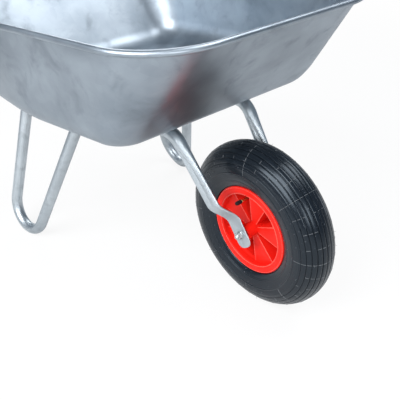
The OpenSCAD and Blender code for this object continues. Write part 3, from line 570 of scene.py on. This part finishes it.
def legMesh():
    g = leg
    r = g["radius"]
    tabThick = 2 * g["wall"] + g["tabGap"]
    tabRadius = squashed(r, tabThick / 2)
    tabY = tube["radius"] + tabThick / 2
    drop = tube["radius"] + g["tabDrop"]
    bolts = {-1: Vector((g["front"], tabY, tube["height"])), 1: Vector((g["rear"], tabY, tube["height"]))}
    foot = Vector((g["foot"], g["out"], r))
    dirs, tops = {}, {}
    for side, bolt in bolts.items():
        aim = foot + Vector((side * g["bend"], 0, g["bend"])) - bolt
        dirs[side] = unit((aim.x, 0, aim.z))
        tops[side] = bolt + dirs[side] * drop
    loopSide = unit((tops[-1] - foot).cross(tops[1] - foot))
    loopUp = unit(upward - loopSide * loopSide.z)
    centre = foot + loopUp * g["bend"]
    feet = {}
    for side, top in tops.items():
        away = top - centre
        lean = math.acos(g["bend"] / away.length)
        ahead = unit(loopSide.cross(away))
        feet[side] = centre + g["bend"] * (away.normalized() * math.cos(lean) + side * ahead * math.sin(lean))
    limb = {side: unit(feet[side] - tops[side]) for side in tops}
    turn = (feet[-1] - centre).angle(feet[1] - centre)
    spoke = feet[-1] - centre
    arc = [(centre + spoke * c + limb[-1] * g["bend"] * s, limb[-1] * c - unit(spoke) * s)
           for c, s in arcTurns(turn, g["bendStep"])]
    stops = [q for q, _ in g["flattening"]]
    halves = [tabThick / 2 if share is None else r * share for _, share in g["flattening"]]

    def tabRings(side):
        travel = -side
        made = [oval(bolts[side] - dirs[side] * r * sind(a), dirs[side] * travel, leftward, tabThick / 2,
                     tabRadius * cosd(a)) for a in g["tabAngles"]]
        made.append(oval(tops[side], dirs[side] * travel, leftward, tabThick / 2, tabRadius))
        for q in np.linspace(g["squashFirst"], 1, g["squashSteps"]):
            wide = float(np.interp(q, stops, halves))
            out = unit(leftward * (1 - q) + loopSide * q)
            made.append(oval(tops[side] + limb[side] * g["squash"] * q, limb[side] * travel, out, wide,
                             squashed(r, wide)))
        return made

    front = tabRings(-1)
    rear = list(reversed(tabRings(1)))
    lower = [oval(p, d, loopSide, r, r) for p, d in arc]
    rings = [[tubePlane(*p) for p in ring] for ring in front + lower + rear]
    return skin(rings)


pair("legLoop", "leg_loop", legMesh())
print("leg loops made")


tyre = {
    "radius": 200, "width": 100, "low": 65, "wall": 6, "grooves": 12, "grooveWidth": 2.4,
    "grooveDepth": 2.4, "treadArc": 161, "sideShare": 0.45, "rimRadius": 107.5, "rimWidth": 78,
    "rimWall": 4, "seat": 96.5, "gap": 0.2, "beadWidth": 9, "steps": 480,
    "sideSteps": 96, "wallSteps": 20, "outerFoot": 2, "innerFoot": 12, "seatLift": 1, "grooveLip": 0.3,
    # a groove's section: across its half width, share of its depth
    "grooveSection": ((-1, 0.12), (-0.6, 0.9), (-0.3, 1), (0.3, 1), (0.6, 0.9), (1, 0.12)),
    # fine rings on the side wall: angle round the section, width in degrees, height
    "sideRings": [(-6, 0.8, 0.9), (-9.5, 0.5, 0.35), (-24, 0.7, 0.5), (-27, 0.5, 0.4), (9, 0.5, 0.3)],
    "flashLines": 32, "longEvery": 4, "longShare": 0.95, "shortShare": 0.6, "shortTrim": 0.45,
    "flashHeight": 0.5, "flashWidth": 0.5, "flashSeed": 5, "flashClear": 0.4, "flashSteps": (5, 10),
    "flashSection": ((-1, -0.4), (-0.4, 1), (0.4, 1), (1, -0.4)),
    "whiskers": 84, "whiskerLength": (2.0, 6.0), "whiskerRadius": 0.42, "whiskerSeed": 11,
    "whiskerAt": (-29, -20, 2, 12, 12, 22, 35, 48), "whiskerTaper": 0.55, "whiskerSunk": 0.6,
    "whiskerSpread": (-1.6, 1.6), "whiskerLean": (-0.5, 0.5), "whiskerTwist": (-0.7, 0.7),
    "whiskerRings": (0, 0.35, 0.7, 1),
}
tyreMiddle = tyre["radius"] - tyre["width"] / 2


# A point of the casing's section: its radius and its distance from the middle plane
def casingPoint(a, inset=0.0):
    reach = tyre["width"] / 2 if sind(a) > 0 else tyre["low"]
    return (tyreMiddle + (reach - inset) * sind(a), (tyre["width"] / 2 - inset) * cosd(a))


def footAngle(r, inset):    # where the section's lower half reaches radius r
    return math.degrees(math.asin((r - tyreMiddle) / (tyre["low"] - inset)))


def sideLift(a):    # fine rings are moulded into the side wall
    return max(high * math.exp(-((a - at) / wide) ** 2) for at, wide, high in tyre["sideRings"])


def treadGrooves():    # (middle, half width, share of the full size) of each groove, as angles
    t = tyre
    pitch = t["treadArc"] / t["grooves"]
    mids = [90 + pitch * (i - (t["grooves"] - 1) / 2) for i in range(t["grooves"])]
    shares = [t["sideShare"] + (1 - t["sideShare"]) * sind(mid) ** 2 for mid in mids]
    full = math.degrees(t["grooveWidth"] / t["width"])
    return [(mid, full * share, share) for mid, share in zip(mids, shares)]


def tyreProfile():
    t = tyre
    beadIn, beadBack = t["seat"] + t["gap"], t["rimWidth"] / 2 - t["rimWall"] - t["gap"]
    outerFoot = footAngle(t["rimRadius"] + t["outerFoot"], 0)
    innerFoot = footAngle(beadIn + t["innerFoot"], t["wall"])
    pitch, lip, beadTop = t["treadArc"] / t["grooves"], t["grooveLip"], t["rimRadius"] + t["seatLift"]
    edge = 90 - t["treadArc"] / 2
    line = [(beadIn, beadBack - t["beadWidth"]), (beadIn, beadBack), (beadTop, beadBack)]
    near = [casingPoint(a, -sideLift(a)) for a in
            np.linspace(outerFoot, edge, t["sideSteps"], endpoint=False)]
    line += near
    for mid, half, share in treadGrooves():
        rib = pitch / 2 - half
        line += [casingPoint(a) for a in (mid - half - rib, mid - half - rib / 2, mid - half - lip)]
        line += [casingPoint(mid + half * at, t["grooveDepth"] * share * down)
                 for at, down in t["grooveSection"]]
        line += [casingPoint(a) for a in (mid + half + lip, mid + half + rib / 2)]
    line.append(casingPoint(180 - edge))
    line += [(r, -y) for r, y in reversed(near)]
    line += [(beadTop, -beadBack), (beadIn, -beadBack), (beadIn, t["beadWidth"] - beadBack)]
    line += [casingPoint(a, t["wall"]) for a in np.linspace(180 - innerFoot, innerFoot, t["wallSteps"])]
    return line


def flashSpans():    # the ribs, from groove edge to groove edge, as angles round the section
    clear, outermost = tyre["flashClear"], tyre["sideRings"][0][0] + 2
    starts = [outermost] + [mid + half + clear for mid, half, _ in treadGrooves()]
    stops = [mid - half - clear for mid, half, _ in treadGrooves()] + [180 - outermost]
    return list(zip(starts, stops))


def flashMesh():    # thin raised lines of rubber where the mould's parts met, broken rib by rib
    t = tyre
    chance = random.Random(t["flashSeed"])
    spans = flashSpans()
    meshes = []
    for k in range(t["flashLines"]):
        start = 360 * k / t["flashLines"]
        whole = k % t["longEvery"] == 0
        for i, (low, high) in enumerate(spans):
            outermost = i in (0, len(spans) - 1)
            if outermost and not whole or chance.random() > t["longShare" if whole else "shortShare"]:
                continue
            trim = 0 if whole else chance.uniform(0, t["shortTrim"]) * (high - low)
            rings = []
            for a in np.linspace(low + trim, high, t["flashSteps"][outermost]):
                ring = []
                for away, up in t["flashSection"]:
                    r, y = casingPoint(a, -t["flashHeight"] * up)
                    r = min(r, t["radius"])
                    at = start + math.degrees(t["flashWidth"] * away / r)
                    ring.append(atAxle(r, at, y))
                rings.append(ring)
            meshes.append(skin(rings))
    return joined(*meshes)


def whiskerMesh():    # thin hairs of rubber that the mould's vents left
    t = tyre
    chance = random.Random(t["whiskerSeed"])
    meshes = []
    for i in range(t["whiskers"]):
        around = 360 * i / t["whiskers"] + chance.uniform(*t["whiskerSpread"])
        a = chance.choice(t["whiskerAt"])
        side = 1 if i % 2 else -1
        long = chance.uniform(*t["whiskerLength"])
        lean, twist = chance.uniform(*t["whiskerLean"]), chance.uniform(*t["whiskerTwist"])
        r, y = casingPoint(a)
        radial = Vector((cosd(around), 0, sind(around)))
        ahead = Vector((-sind(around), 0, cosd(around)))
        out = unit(radial * sind(a) + leftward * side * cosd(a))
        foot = axle + radial * r + leftward * side * y - out * t["whiskerSunk"]
        tip = unit(out + ahead * twist + radial * lean)
        rings = []
        for q in t["whiskerRings"]:
            along = unit(out.lerp(tip, q))
            thin = t["whiskerRadius"] * (1 - t["whiskerTaper"] * q)
            rings.append(oval(foot + along * long * q, along, unit(along.cross(radial + ahead)),
                              thin, thin, sides=6))
        meshes.append(skin(rings))
    return joined(*meshes)


piece("tyreCasing", *aroundAxle(tyreProfile(), tyre["steps"]), tyreBlack, "wheel", "tyre_rubber",
      ["tyre"], 50)
piece("tyreFlash", *flashMesh(), flashGrey, "wheel", "tyre_rubber")
piece("tyreWhiskers", *whiskerMesh(), flashGrey, "wheel", "tyre_rubber")
print("tyre made")


rim = {
    "radius": 107.5, "width": 78, "face": 19, "wall": 4, "seat": 96.5, "well": 89.5, "web": 46,
    "sectors": 10, "firstFold": 95.7, "hub": 17, "hubLength": 104, "bearing": 12, "bearingGap": 0.2,
    "hubRadius": 1.6, "fold": 1.8, "fillet": 1.4, "lip": 2.0, "round": 1.6,
    "steps": 240, "hubSteps": 96, "radialSteps": 14, "flatSteps": 8,
    "wellDrop": 6, "dishRound": 4, "webSunk": 2, "innerDrop": 8, "reachPast": (2, 1.5),
    "foldBead": 0.8, "beadSunk": 0.32, "beadPast": (1, 0.5), "beadSteps": 6, "flangeSteps": 160,
    # each bead round a flange: in from the edge, below the face, and its radius
    "flangeBeads": ((3.2, 0, 0.4), (17.4, 0.9, 0.7)),
}


def rounded(line, radius, steps=4):    # an open line of (radius, y) points with rounded corners
    out = [line[0]]
    for a, b, c in zip(line, line[1:], line[2:]):
        a, b, c = Vector(a), Vector(b), Vector(c)
        r = min(radius, (a - b).length * 0.45, (c - b).length * 0.45)
        start, stop = b + (a - b).normalized() * r, b + (c - b).normalized() * r
        out += [tuple(start * (1 - q) ** 2 + b * 2 * q * (1 - q) + stop * q * q)
                for q in np.linspace(0, 1, steps)]
    out.append(line[-1])
    return out


def barrelMesh():    # from the middle of the well, over the flange, to the inside
    t = rim
    dish, half, inner = t["radius"] - t["face"], t["width"] / 2, t["well"] - t["wall"]
    web, lip, turn = t["web"] / 2, t["radius"] - t["lip"], t["dishRound"]
    side = [(t["well"], 0), (t["well"], web - t["wellDrop"]), (t["seat"], web), (t["seat"], half - t["wall"]),
            (lip, half - t["wall"]), (t["radius"], half - t["wall"] / 2), (lip, half), (dish + turn, half),
            (dish, half - turn), (dish, web - t["webSunk"]), (inner, web - t["innerDrop"]), (inner, 0)]
    near = rounded(side, t["round"], 5)
    far = [(r, -y) for r, y in reversed(near)]
    return aroundAxle(near[:-1] + far[:-1], t["steps"])


# (distance from the fold, y): the sheet turns down at a rounded edge
def foldProfile(level, height):
    t = rim
    e, f, half = t["fold"], t["fillet"], t["wall"] / 2
    down = [(half - e + e * sind(a), level + e * (1 - cosd(a))) for a in np.linspace(0, 90, 6)]
    foot = [(half + f - f * cosd(a), height - f + f * sind(a)) for a in np.linspace(0, 90, 5)]
    return down + foot


def webMesh():    # one wall folded to and fro, so that a face on one side is a pocket on the other
    t = rim
    face = t["web"] / 2
    thick = t["wall"] / 2 + max(t["fold"], t["fillet"])
    nearLine = foldProfile(-face, face - t["wall"])    # from a face plate down into a pocket
    farLine = [(-d, -y) for d, y in reversed(nearLine)]
    sector = 360 / t["sectors"]
    loops = {"near": [], "far": []}
    for i in range(t["sectors"]):
        into = i % 2 == 0    # the near side drops into a pocket here
        fold = t["firstFold"] + sector * i
        for key, line in (("near", nearLine), ("far", farLine)):
            ordered = line if into else [(-d, y) for d, y in reversed(line)]
            loops[key] += [(fold, d, y, 0) for d, y in ordered]
            loops[key] += [(fold, ordered[-1][0], ordered[-1][1], k / t["flatSteps"])
                           for k in range(1, t["flatSteps"])]
    near, far = t["reachPast"]    # the web runs into the hub and the barrel
    reach = np.linspace(t["hub"] - near, t["radius"] - t["face"] + far, t["radialSteps"])

    def ring(key, r):
        out = []
        for fold, d, y, share in loops[key]:
            angle = fold + math.degrees(math.asin(d / r))
            if share:    # spread over the flat, up to the next fold's first point
                stop = fold + sector - math.degrees(math.asin(thick / r))
                angle += max(0.0, stop - angle) * share
            out.append(atAxle(r, angle, y))
        return out

    return skin([ring("near", r) for r in reach] + [ring("far", r) for r in reversed(reach)], capped=False)


def hubMesh():
    t = rim
    half = t["hubLength"] / 2
    bore = t["bearing"] + t["bearingGap"]
    line = rounded([(bore, 0), (bore, half), (t["hub"], half), (t["hub"], -half), (bore, -half),
                    (bore, -0.1)], t["hubRadius"], 6)
    return aroundAxle(line, t["hubSteps"])


# the beads below are drawn in paler red as painted highlight lines on the folds and flange rims
def edgeMesh():    # fine beads along the folds and round the flanges
    t = rim
    face, half, sunk, fat = t["web"] / 2, t["width"] / 2, t["fold"] * t["beadSunk"], t["foldBead"]
    near, far = t["beadPast"]
    meshes = []
    for i in range(t["sectors"]):
        fold = t["firstFold"] + 360 / t["sectors"] * i
        along = (cosd(fold), 0, sind(fold))
        for side in (-1, 1):
            inwards = (1 if i % 2 == 0 else -1) * -side
            rings = []
            for r in np.linspace(t["hub"] + near, t["radius"] - t["face"] + far, t["beadSteps"]):
                at = fold + math.degrees(math.asin(inwards * (t["wall"] / 2 - sunk) / r))
                rings.append(oval(atAxle(r, at, side * (face - sunk)), along, (0, 1, 0), fat, fat, sides=8))
            meshes.append(skin(rings))
    for inset, below, fat in t["flangeBeads"]:
        for side in (-1, 1):
            circle = [(t["radius"] - inset + fat * cosd(a), side * (half - below + fat * sind(a)))
                      for a in range(0, 360, 45)]
            meshes.append(aroundAxle(circle, t["flangeSteps"]))
    return joined(*meshes)


# paler red beads: painted highlight lines along the rim's folds and round its flanges
piece("rimHighlightBeads", *edgeMesh(), paleRedHighlight, "wheel", "red_plastic")
piece("wheelRim", *joined(barrelMesh(), webMesh(), hubMesh()), red, "wheel", "red_plastic", ["rim"], 60)
print("rim made")


# Bolts and nuts: axle and bolt are diameters, hexAcross to washerHigh are shares of a diameter
ties = {
    "axle": 10, "axlePitch": 1.5, "bolt": 8, "boltPitch": 1.25, "hexAcross": 1.6, "nutHigh": 0.8,
    "headHigh": 0.65, "washerHigh": 0.2, "washerGap": 0.25, "threadDepth": 0.54, "hexThread": 2.2,
    "trayThread": 30, "trayBoltsBack": (214, 590), "tubeUnder": 404, "nutTurn": 0.6,
    "axlePast": 4, "trayPast": 2, "legPast": 3,    # how far a bolt's end stands past its nut
    "hexFlat": 0.96, "hexBore": 0.02, "tipCut": 0.8, "washerEdge": 0.25, "domeHigh": 0.5,
}


def turned(line, sides=48):    # a closed (radius, height) outline turned about its own Z
    rings = [[(r * cosd(360 * k / sides), r * sind(360 * k / sides), z) for r, z in line]
             for k in range(sides)]
    return skin(rings, capped=False)


def placed(mesh, origin, along, side):    # drawn Z along one direction, drawn X along the other
    along, side = unit(along), unit(side)
    third = along.cross(side)
    verts, faces = mesh
    return [tuple(Vector(origin) + side * x + third * y + along * z) for x, y, z in verts], faces


def hexRadius(angle, across):
    return across / 2 / cosd((angle + 30) % 60 - 30)


def hexMesh(across, high, bore=0.0, bothEnds=False, sides=72):    # a hexagon with its corners turned off
    flat = across / 2 * ties["hexFlat"]
    inner = bore / 2 if bore else ties["hexBore"]
    rings = []
    for k in range(sides):
        a = 360 * k / sides
        r = hexRadius(a, across)
        cut = (r - flat) * tand(30)
        low = cut if bothEnds else 0.0
        outline = [(inner + 0.5, 0), (flat if bothEnds else r, 0), (r, low + 0.01), (r, high - cut - 0.01),
                   (flat, high), (inner + 0.5, high), (inner, high - 0.5), (inner, 0.5)]
        rings.append([(q * cosd(a), q * sind(a), z) for q, z in outline])
    return skin(rings, capped=False)


def screwMesh(d, length, thread, pitch, sides=32):    # a shank along Z whose far end has a real helix
    depth = pitch * ties["threadDepth"]
    plain = length - thread
    rings = []
    for z in [0.0, plain] + list(np.arange(plain + pitch / 6, length, pitch / 6)) + [length]:
        ring = []
        for k in range(sides):
            a = 360 * k / sides
            turn = (z / pitch - k / sides) % 1
            cut = depth * abs(2 * turn - 1) if z > plain else 0.0
            end = max(0.0, z - (length - pitch)) * ties["tipCut"]
            r = d / 2 - cut - max(0.0, end - cut)
            ring.append((r * cosd(a), r * sind(a), z))
        rings.append(ring)
    return skin(rings)


def washerMesh(d):
    inner, outer = d / 2 + ties["washerGap"], d
    high, edge = ties["washerHigh"] * d, ties["washerEdge"]
    return turned([(inner, edge), (inner + edge, 0), (outer - edge, 0), (outer, edge), (outer, high - edge),
                   (outer - edge, high), (inner + edge, high), (inner, high - edge)])


def nutMesh(d):
    return hexMesh(ties["hexAcross"] * d, ties["nutHigh"] * d, d, True)


def domeMesh(d):    # the mushroom head of a coach bolt
    high = ties["domeHigh"] * d
    ball = (d * d + high * high) / (2 * high)
    top = [(ball * sind(a), high - ball + ball * cosd(a))
           for a in np.linspace(0.5, math.degrees(math.asin(d / ball)), 10)]
    return turned(top + [(d, -0.01), (0.02, -0.01)])


def hexBoltMesh(d, length, pitch):    # the head is below Z = 0
    head = hexMesh(ties["hexAcross"] * d, ties["headHigh"] * d)
    return joined(placed(head, (0, 0, 0), (0, 0, -1), (1, 0, 0)),
                  screwMesh(d, length, ties["hexThread"] * d, pitch))


def plate(name, meshes, solid, sharp=30):    # a zinc-plated piece of the frame
    piece(name, *joined(*meshes), plated, "frame", "zinc_plate", [solid], sharp)


def axleTie():    # the bolt's head is on the left, its nut on the right
    d = ties["axle"]
    face = tube["plateY"] + tube["plate"] / 2
    stack = face + ties["washerHigh"] * d
    bolt = hexBoltMesh(d, 2 * stack + ties["nutHigh"] * d + ties["axlePast"], ties["axlePitch"])
    plate("axleBolt", [placed(bolt, axle + leftward * stack, -leftward, forward)], "axle_bolt")
    aside = forward + upward * ties["nutTurn"]
    plate("axleNut", [placed(nutMesh(d), axle - leftward * stack, -leftward, aside)], "axle_nut")
    plate("axleWashers", [placed(washerMesh(d), axle + leftward * side * face, leftward * side, forward)
                          for side in (1, -1)], "axle_washers", 40)


def trayTieMeshes():    # coach bolts down through the tray's floor and the tubes
    t, d = tray, ties["bolt"]
    bolts, washers, nuts = [], [], []
    low = ties["tubeUnder"] - ties["washerHigh"] * d
    for back in ties["trayBoltsBack"]:
        for side in (1, -1):
            out = side * (tube["bendOut"] + (back - tube["bendBack"]) * tand(tube["spread"]))
            top, foot = fromAxle(back, out, t["under"] + t["sheet"]), fromAxle(back, out, low)
            long = top.z - low + ties["nutHigh"] * d + ties["trayPast"]
            shank = screwMesh(d, long, ties["trayThread"], ties["boltPitch"])
            bolts += [placed(domeMesh(d), top, upward, forward), placed(shank, top, -upward, forward)]
            washers.append(placed(washerMesh(d), foot, upward, forward))
            nuts.append(placed(nutMesh(d), foot, -upward, forward))
    return bolts, washers, nuts


def legTieMeshes():    # hexagon bolts inwards through a leg's tab and the tube
    d = ties["bolt"]
    bolts, washers, nuts = [], [], []
    tab = 2 * leg["wall"] + leg["tabGap"]
    for back in (leg["front"], leg["rear"]):
        outer = tubePlane(back, tube["radius"] + tab, tube["height"])
        inner = tubePlane(back, -tube["radius"], tube["height"])
        along = tubePlane(1, 0, 0) - tubePlane(0, 0, 0)
        bolt = hexBoltMesh(d, tab + 2 * tube["radius"] + d + ties["legPast"], ties["boltPitch"])
        bolts.append(placed(bolt, outer, -tubeSide, along))
        washers.append(placed(washerMesh(d), inner, -tubeSide, along))
        nuts.append(placed(nutMesh(d), inner - tubeSide * ties["washerHigh"] * d, -tubeSide, along))
    return bolts, washers, nuts


axleTie()
for place, sets, bothSides in (("tray", trayTieMeshes(), False), ("leg", legTieMeshes(), True)):
    for name, meshes in zip(("Bolts", "Washers", "Nuts"), sets):
        left = joined(*meshes)
        plate(place + name, [left, mirrored(left)] if bothSides else [left], place + "_" + name.lower())
print("fasteners made")


valve = {
    "angle": 104, "y": 8, "d": 6, "length": 36, "bend": 6, "leg": 73.0, "well": 89.5, "foot": 2,
    "bore": 3.2, "tip": 13, "thread": 12.4, "pitch": 0.8, "over": 10,
    "capD": 9.2, "capLength": 16, "capRibs": 18, "ribDepth": 0.38, "capGap": 0.06, "crownStep": 1.25,
}
valveUp = Vector((cosd(valve["angle"]), 0, sind(valve["angle"])))
valveOut = -leftward
valveBase = axle - leftward * valve["y"]


def valveStemMesh():    # up from its foot in the rim's well, round a bend and outwards
    v = valve
    r = v["d"] / 2
    bendAt = valveBase + valveUp * v["leg"]
    tip = bendAt + valveOut * (v["bend"] + v["length"] - v["tip"])
    path = [valveBase + valveUp * (v["well"] + v["foot"]), bendAt, tip]
    side = valveUp.cross(valveOut)
    body = skin([oval(p, d, side, r, r, sides=32) for p, d in pathStations(path, [v["bend"]], 8, 6)])
    thread = screwMesh(v["d"], v["tip"], v["thread"], v["pitch"])
    mouth = turned([(v["bore"] / 2, 0), (r - 0.6, 0), (r - 0.7, 0.25), (v["bore"] / 2, 0.2)])
    foot = turned([(0.02, 0), (2 * r - 0.4, 0), (2 * r, 0.4), (2 * r, v["foot"]), (0.02, v["foot"])])
    return joined(body, placed(thread, tip, valveOut, valveUp),
                  placed(mouth, tip + valveOut * v["tip"], valveOut, valveUp),
                  placed(foot, valveBase + valveUp * v["well"], valveUp, valveOut))


def valveCapMesh():    # a moulded cap with grip ribs and a smaller crown
    v = valve
    outer, crown = v["capD"] / 2, v["capD"] / 2 - v["crownStep"]
    bore, long = v["d"] / 2 + v["capGap"], v["capLength"]
    # radius, height and how far the ribs reach in, from the mouth over the crown and back inside
    line = [(bore, 0.5, 0), (bore + 0.44, 0, 0), (outer - 0.5, 0, 0), (outer - 0.05, 0.5, 0),
            (outer, 1.2, 0), (outer, 1.8, 1), (outer, long - 3.4, 1), (outer - 0.15, long - 2.6, 0.6),
            (outer - 0.7, long - 1.7, 0), (crown, long - 1.5, 0), (crown, long - 0.5, 0),
            (crown - 0.5, long, 0), (0.05, long, 0), (0.05, v["over"] + 1.3, 0), (bore, v["over"] + 1.0, 0)]
    sides = v["capRibs"] * 6
    rings = []
    for k in range(sides):
        a = 360 * k / sides
        rib = v["ribDepth"] * (0.5 + 0.5 * cosd(a * v["capRibs"])) ** 0.7
        rings.append([((r - rib * on) * cosd(a), (r - rib * on) * sind(a), z) for r, z, on in line])
    mouthAt = v["bend"] + v["length"] - v["over"]
    return placed(skin(rings, capped=False), valveBase + valveUp * v["leg"] + valveOut * mouthAt,
                  valveOut, valveUp)


piece("valveStem", *valveStemMesh(), brass, "wheel", "valve_brass", ["valve_stem"], 30)
piece("valveCap", *valveCapMesh(), capBlack, "valve_cap", "cap_plastic", ["valve_cap"], 40)
print("valve made")


# The camera stands ahead of the wheel and to its right; place is from the axle, in millimetres
view = {
    "place": (746.07, -754.30, 716.37), "right": (0.6691, 0.741, -0.0503), "up": (-0.3817, 0.401, 0.8319),
    "ahead": (-0.6372, 0.538, -0.5518), "lens": 50.335, "sensor": 36, "shift": (-0.04505, 0.05005),
}
lens = bpy.data.cameras.new("camera")
lens.lens, lens.sensor_width = view["lens"], view["sensor"]
lens.shift_x, lens.shift_y = view["shift"]
lens.clip_start, lens.clip_end = 0.01, 100
camera = bpy.data.objects.new("camera", lens)
bpy.context.scene.collection.objects.link(camera)
turn = Matrix((view["right"], view["up"], [-v for v in view["ahead"]])).transposed().to_4x4()
camera.matrix_world = Matrix.Translation((Vector(view["place"]) + axle) * mm) @ turn
bpy.context.scene.camera = camera

studio = {
    "floorSize": 30, "floorDrop": 0.0005, "floorShade": 0.66, "worldShade": (0.21, 0.26, 0.32),
    "glow": 0.88, "sheen": 0.3, "fade": (2.2, 1.0), "aim": (0.2, 0, 0.3),
    "lamps": [("keyLamp", (0.5, -2.3, 2.2), 2.5, 165), ("fillLamp", (2.6, -1.0, 1.2), 1.0, 24),
              ("topLamp", (1.0, 1.2, 2.9), 1.8, 62), ("rearLamp", (-2.4, 1.6, 2.0), 1.4, 34)],
}
white = (1, 1, 1, 1)


def floorFinish():    # white where the camera or a reflection sees it, and it still takes shadows
    f = Finish("floorWhite")
    away = f.node("ShaderNodeVectorMath", {"operation": "LENGTH"}, {0: f.place()}, "Value")
    plain = away.above(*studio["fade"])    # shadows stay near the barrow, and the far floor is plain
    shine = studio["glow"] + plain * (1 - studio["glow"])
    seen = f.node("ShaderNodeLightPath", output="Is Camera Ray") * shine
    seen = seen + f.node("ShaderNodeLightPath", output="Is Glossy Ray") * studio["sheen"]
    lit = f.node("ShaderNodeBsdfDiffuse", {}, {"Color": (*(studio["floorShade"],) * 3, 1)})
    glow = f.node("ShaderNodeEmission", {}, {"Color": white, "Strength": 1.0})
    f.node("ShaderNodeOutputMaterial", {},
           {"Surface": f.node("ShaderNodeMixShader", {}, {0: seen, 1: lit, 2: glow})})
    return f.made


def studioWorld():    # a soft sky that the camera sees as white
    w = Finish("world", bpy.data.worlds)
    seen = w.node("ShaderNodeLightPath", output="Is Camera Ray")
    sky = w.node("ShaderNodeBackground", {}, {"Color": (*studio["worldShade"], 1)})
    plain = w.node("ShaderNodeBackground", {}, {"Color": white})
    w.node("ShaderNodeOutputWorld", {},
           {"Surface": w.node("ShaderNodeMixShader", {}, {0: seen, 1: sky, 2: plain})})
    return w.made


half = studio["floorSize"] / 2
corners = [(-half, -half, 0), (half, -half, 0), (half, half, 0), (-half, half, 0)]
floorMesh = bpy.data.meshes.new("floor")
floorMesh.from_pydata(corners, [], [(0, 1, 2, 3)])
floorMesh.materials.append(floorFinish())
floor = bpy.data.objects.new("floor", floorMesh)
floor.location.z = -studio["floorDrop"]
bpy.context.scene.collection.objects.link(floor)

for name, place, size, power in studio["lamps"]:
    lamp = bpy.data.lights.new(name, "AREA")
    lamp.shape, lamp.size, lamp.energy = "SQUARE", size, power
    holder = bpy.data.objects.new(name, lamp)
    holder.location = place
    holder.rotation_mode = "QUATERNION"
    holder.rotation_quaternion = (Vector(studio["aim"]) - Vector(place)).to_track_quat("-Z", "Y")
    bpy.context.scene.collection.objects.link(holder)

bpy.context.scene.world = studioWorld()
bpy.context.scene.view_settings.view_transform = "Standard"
print("stage made")
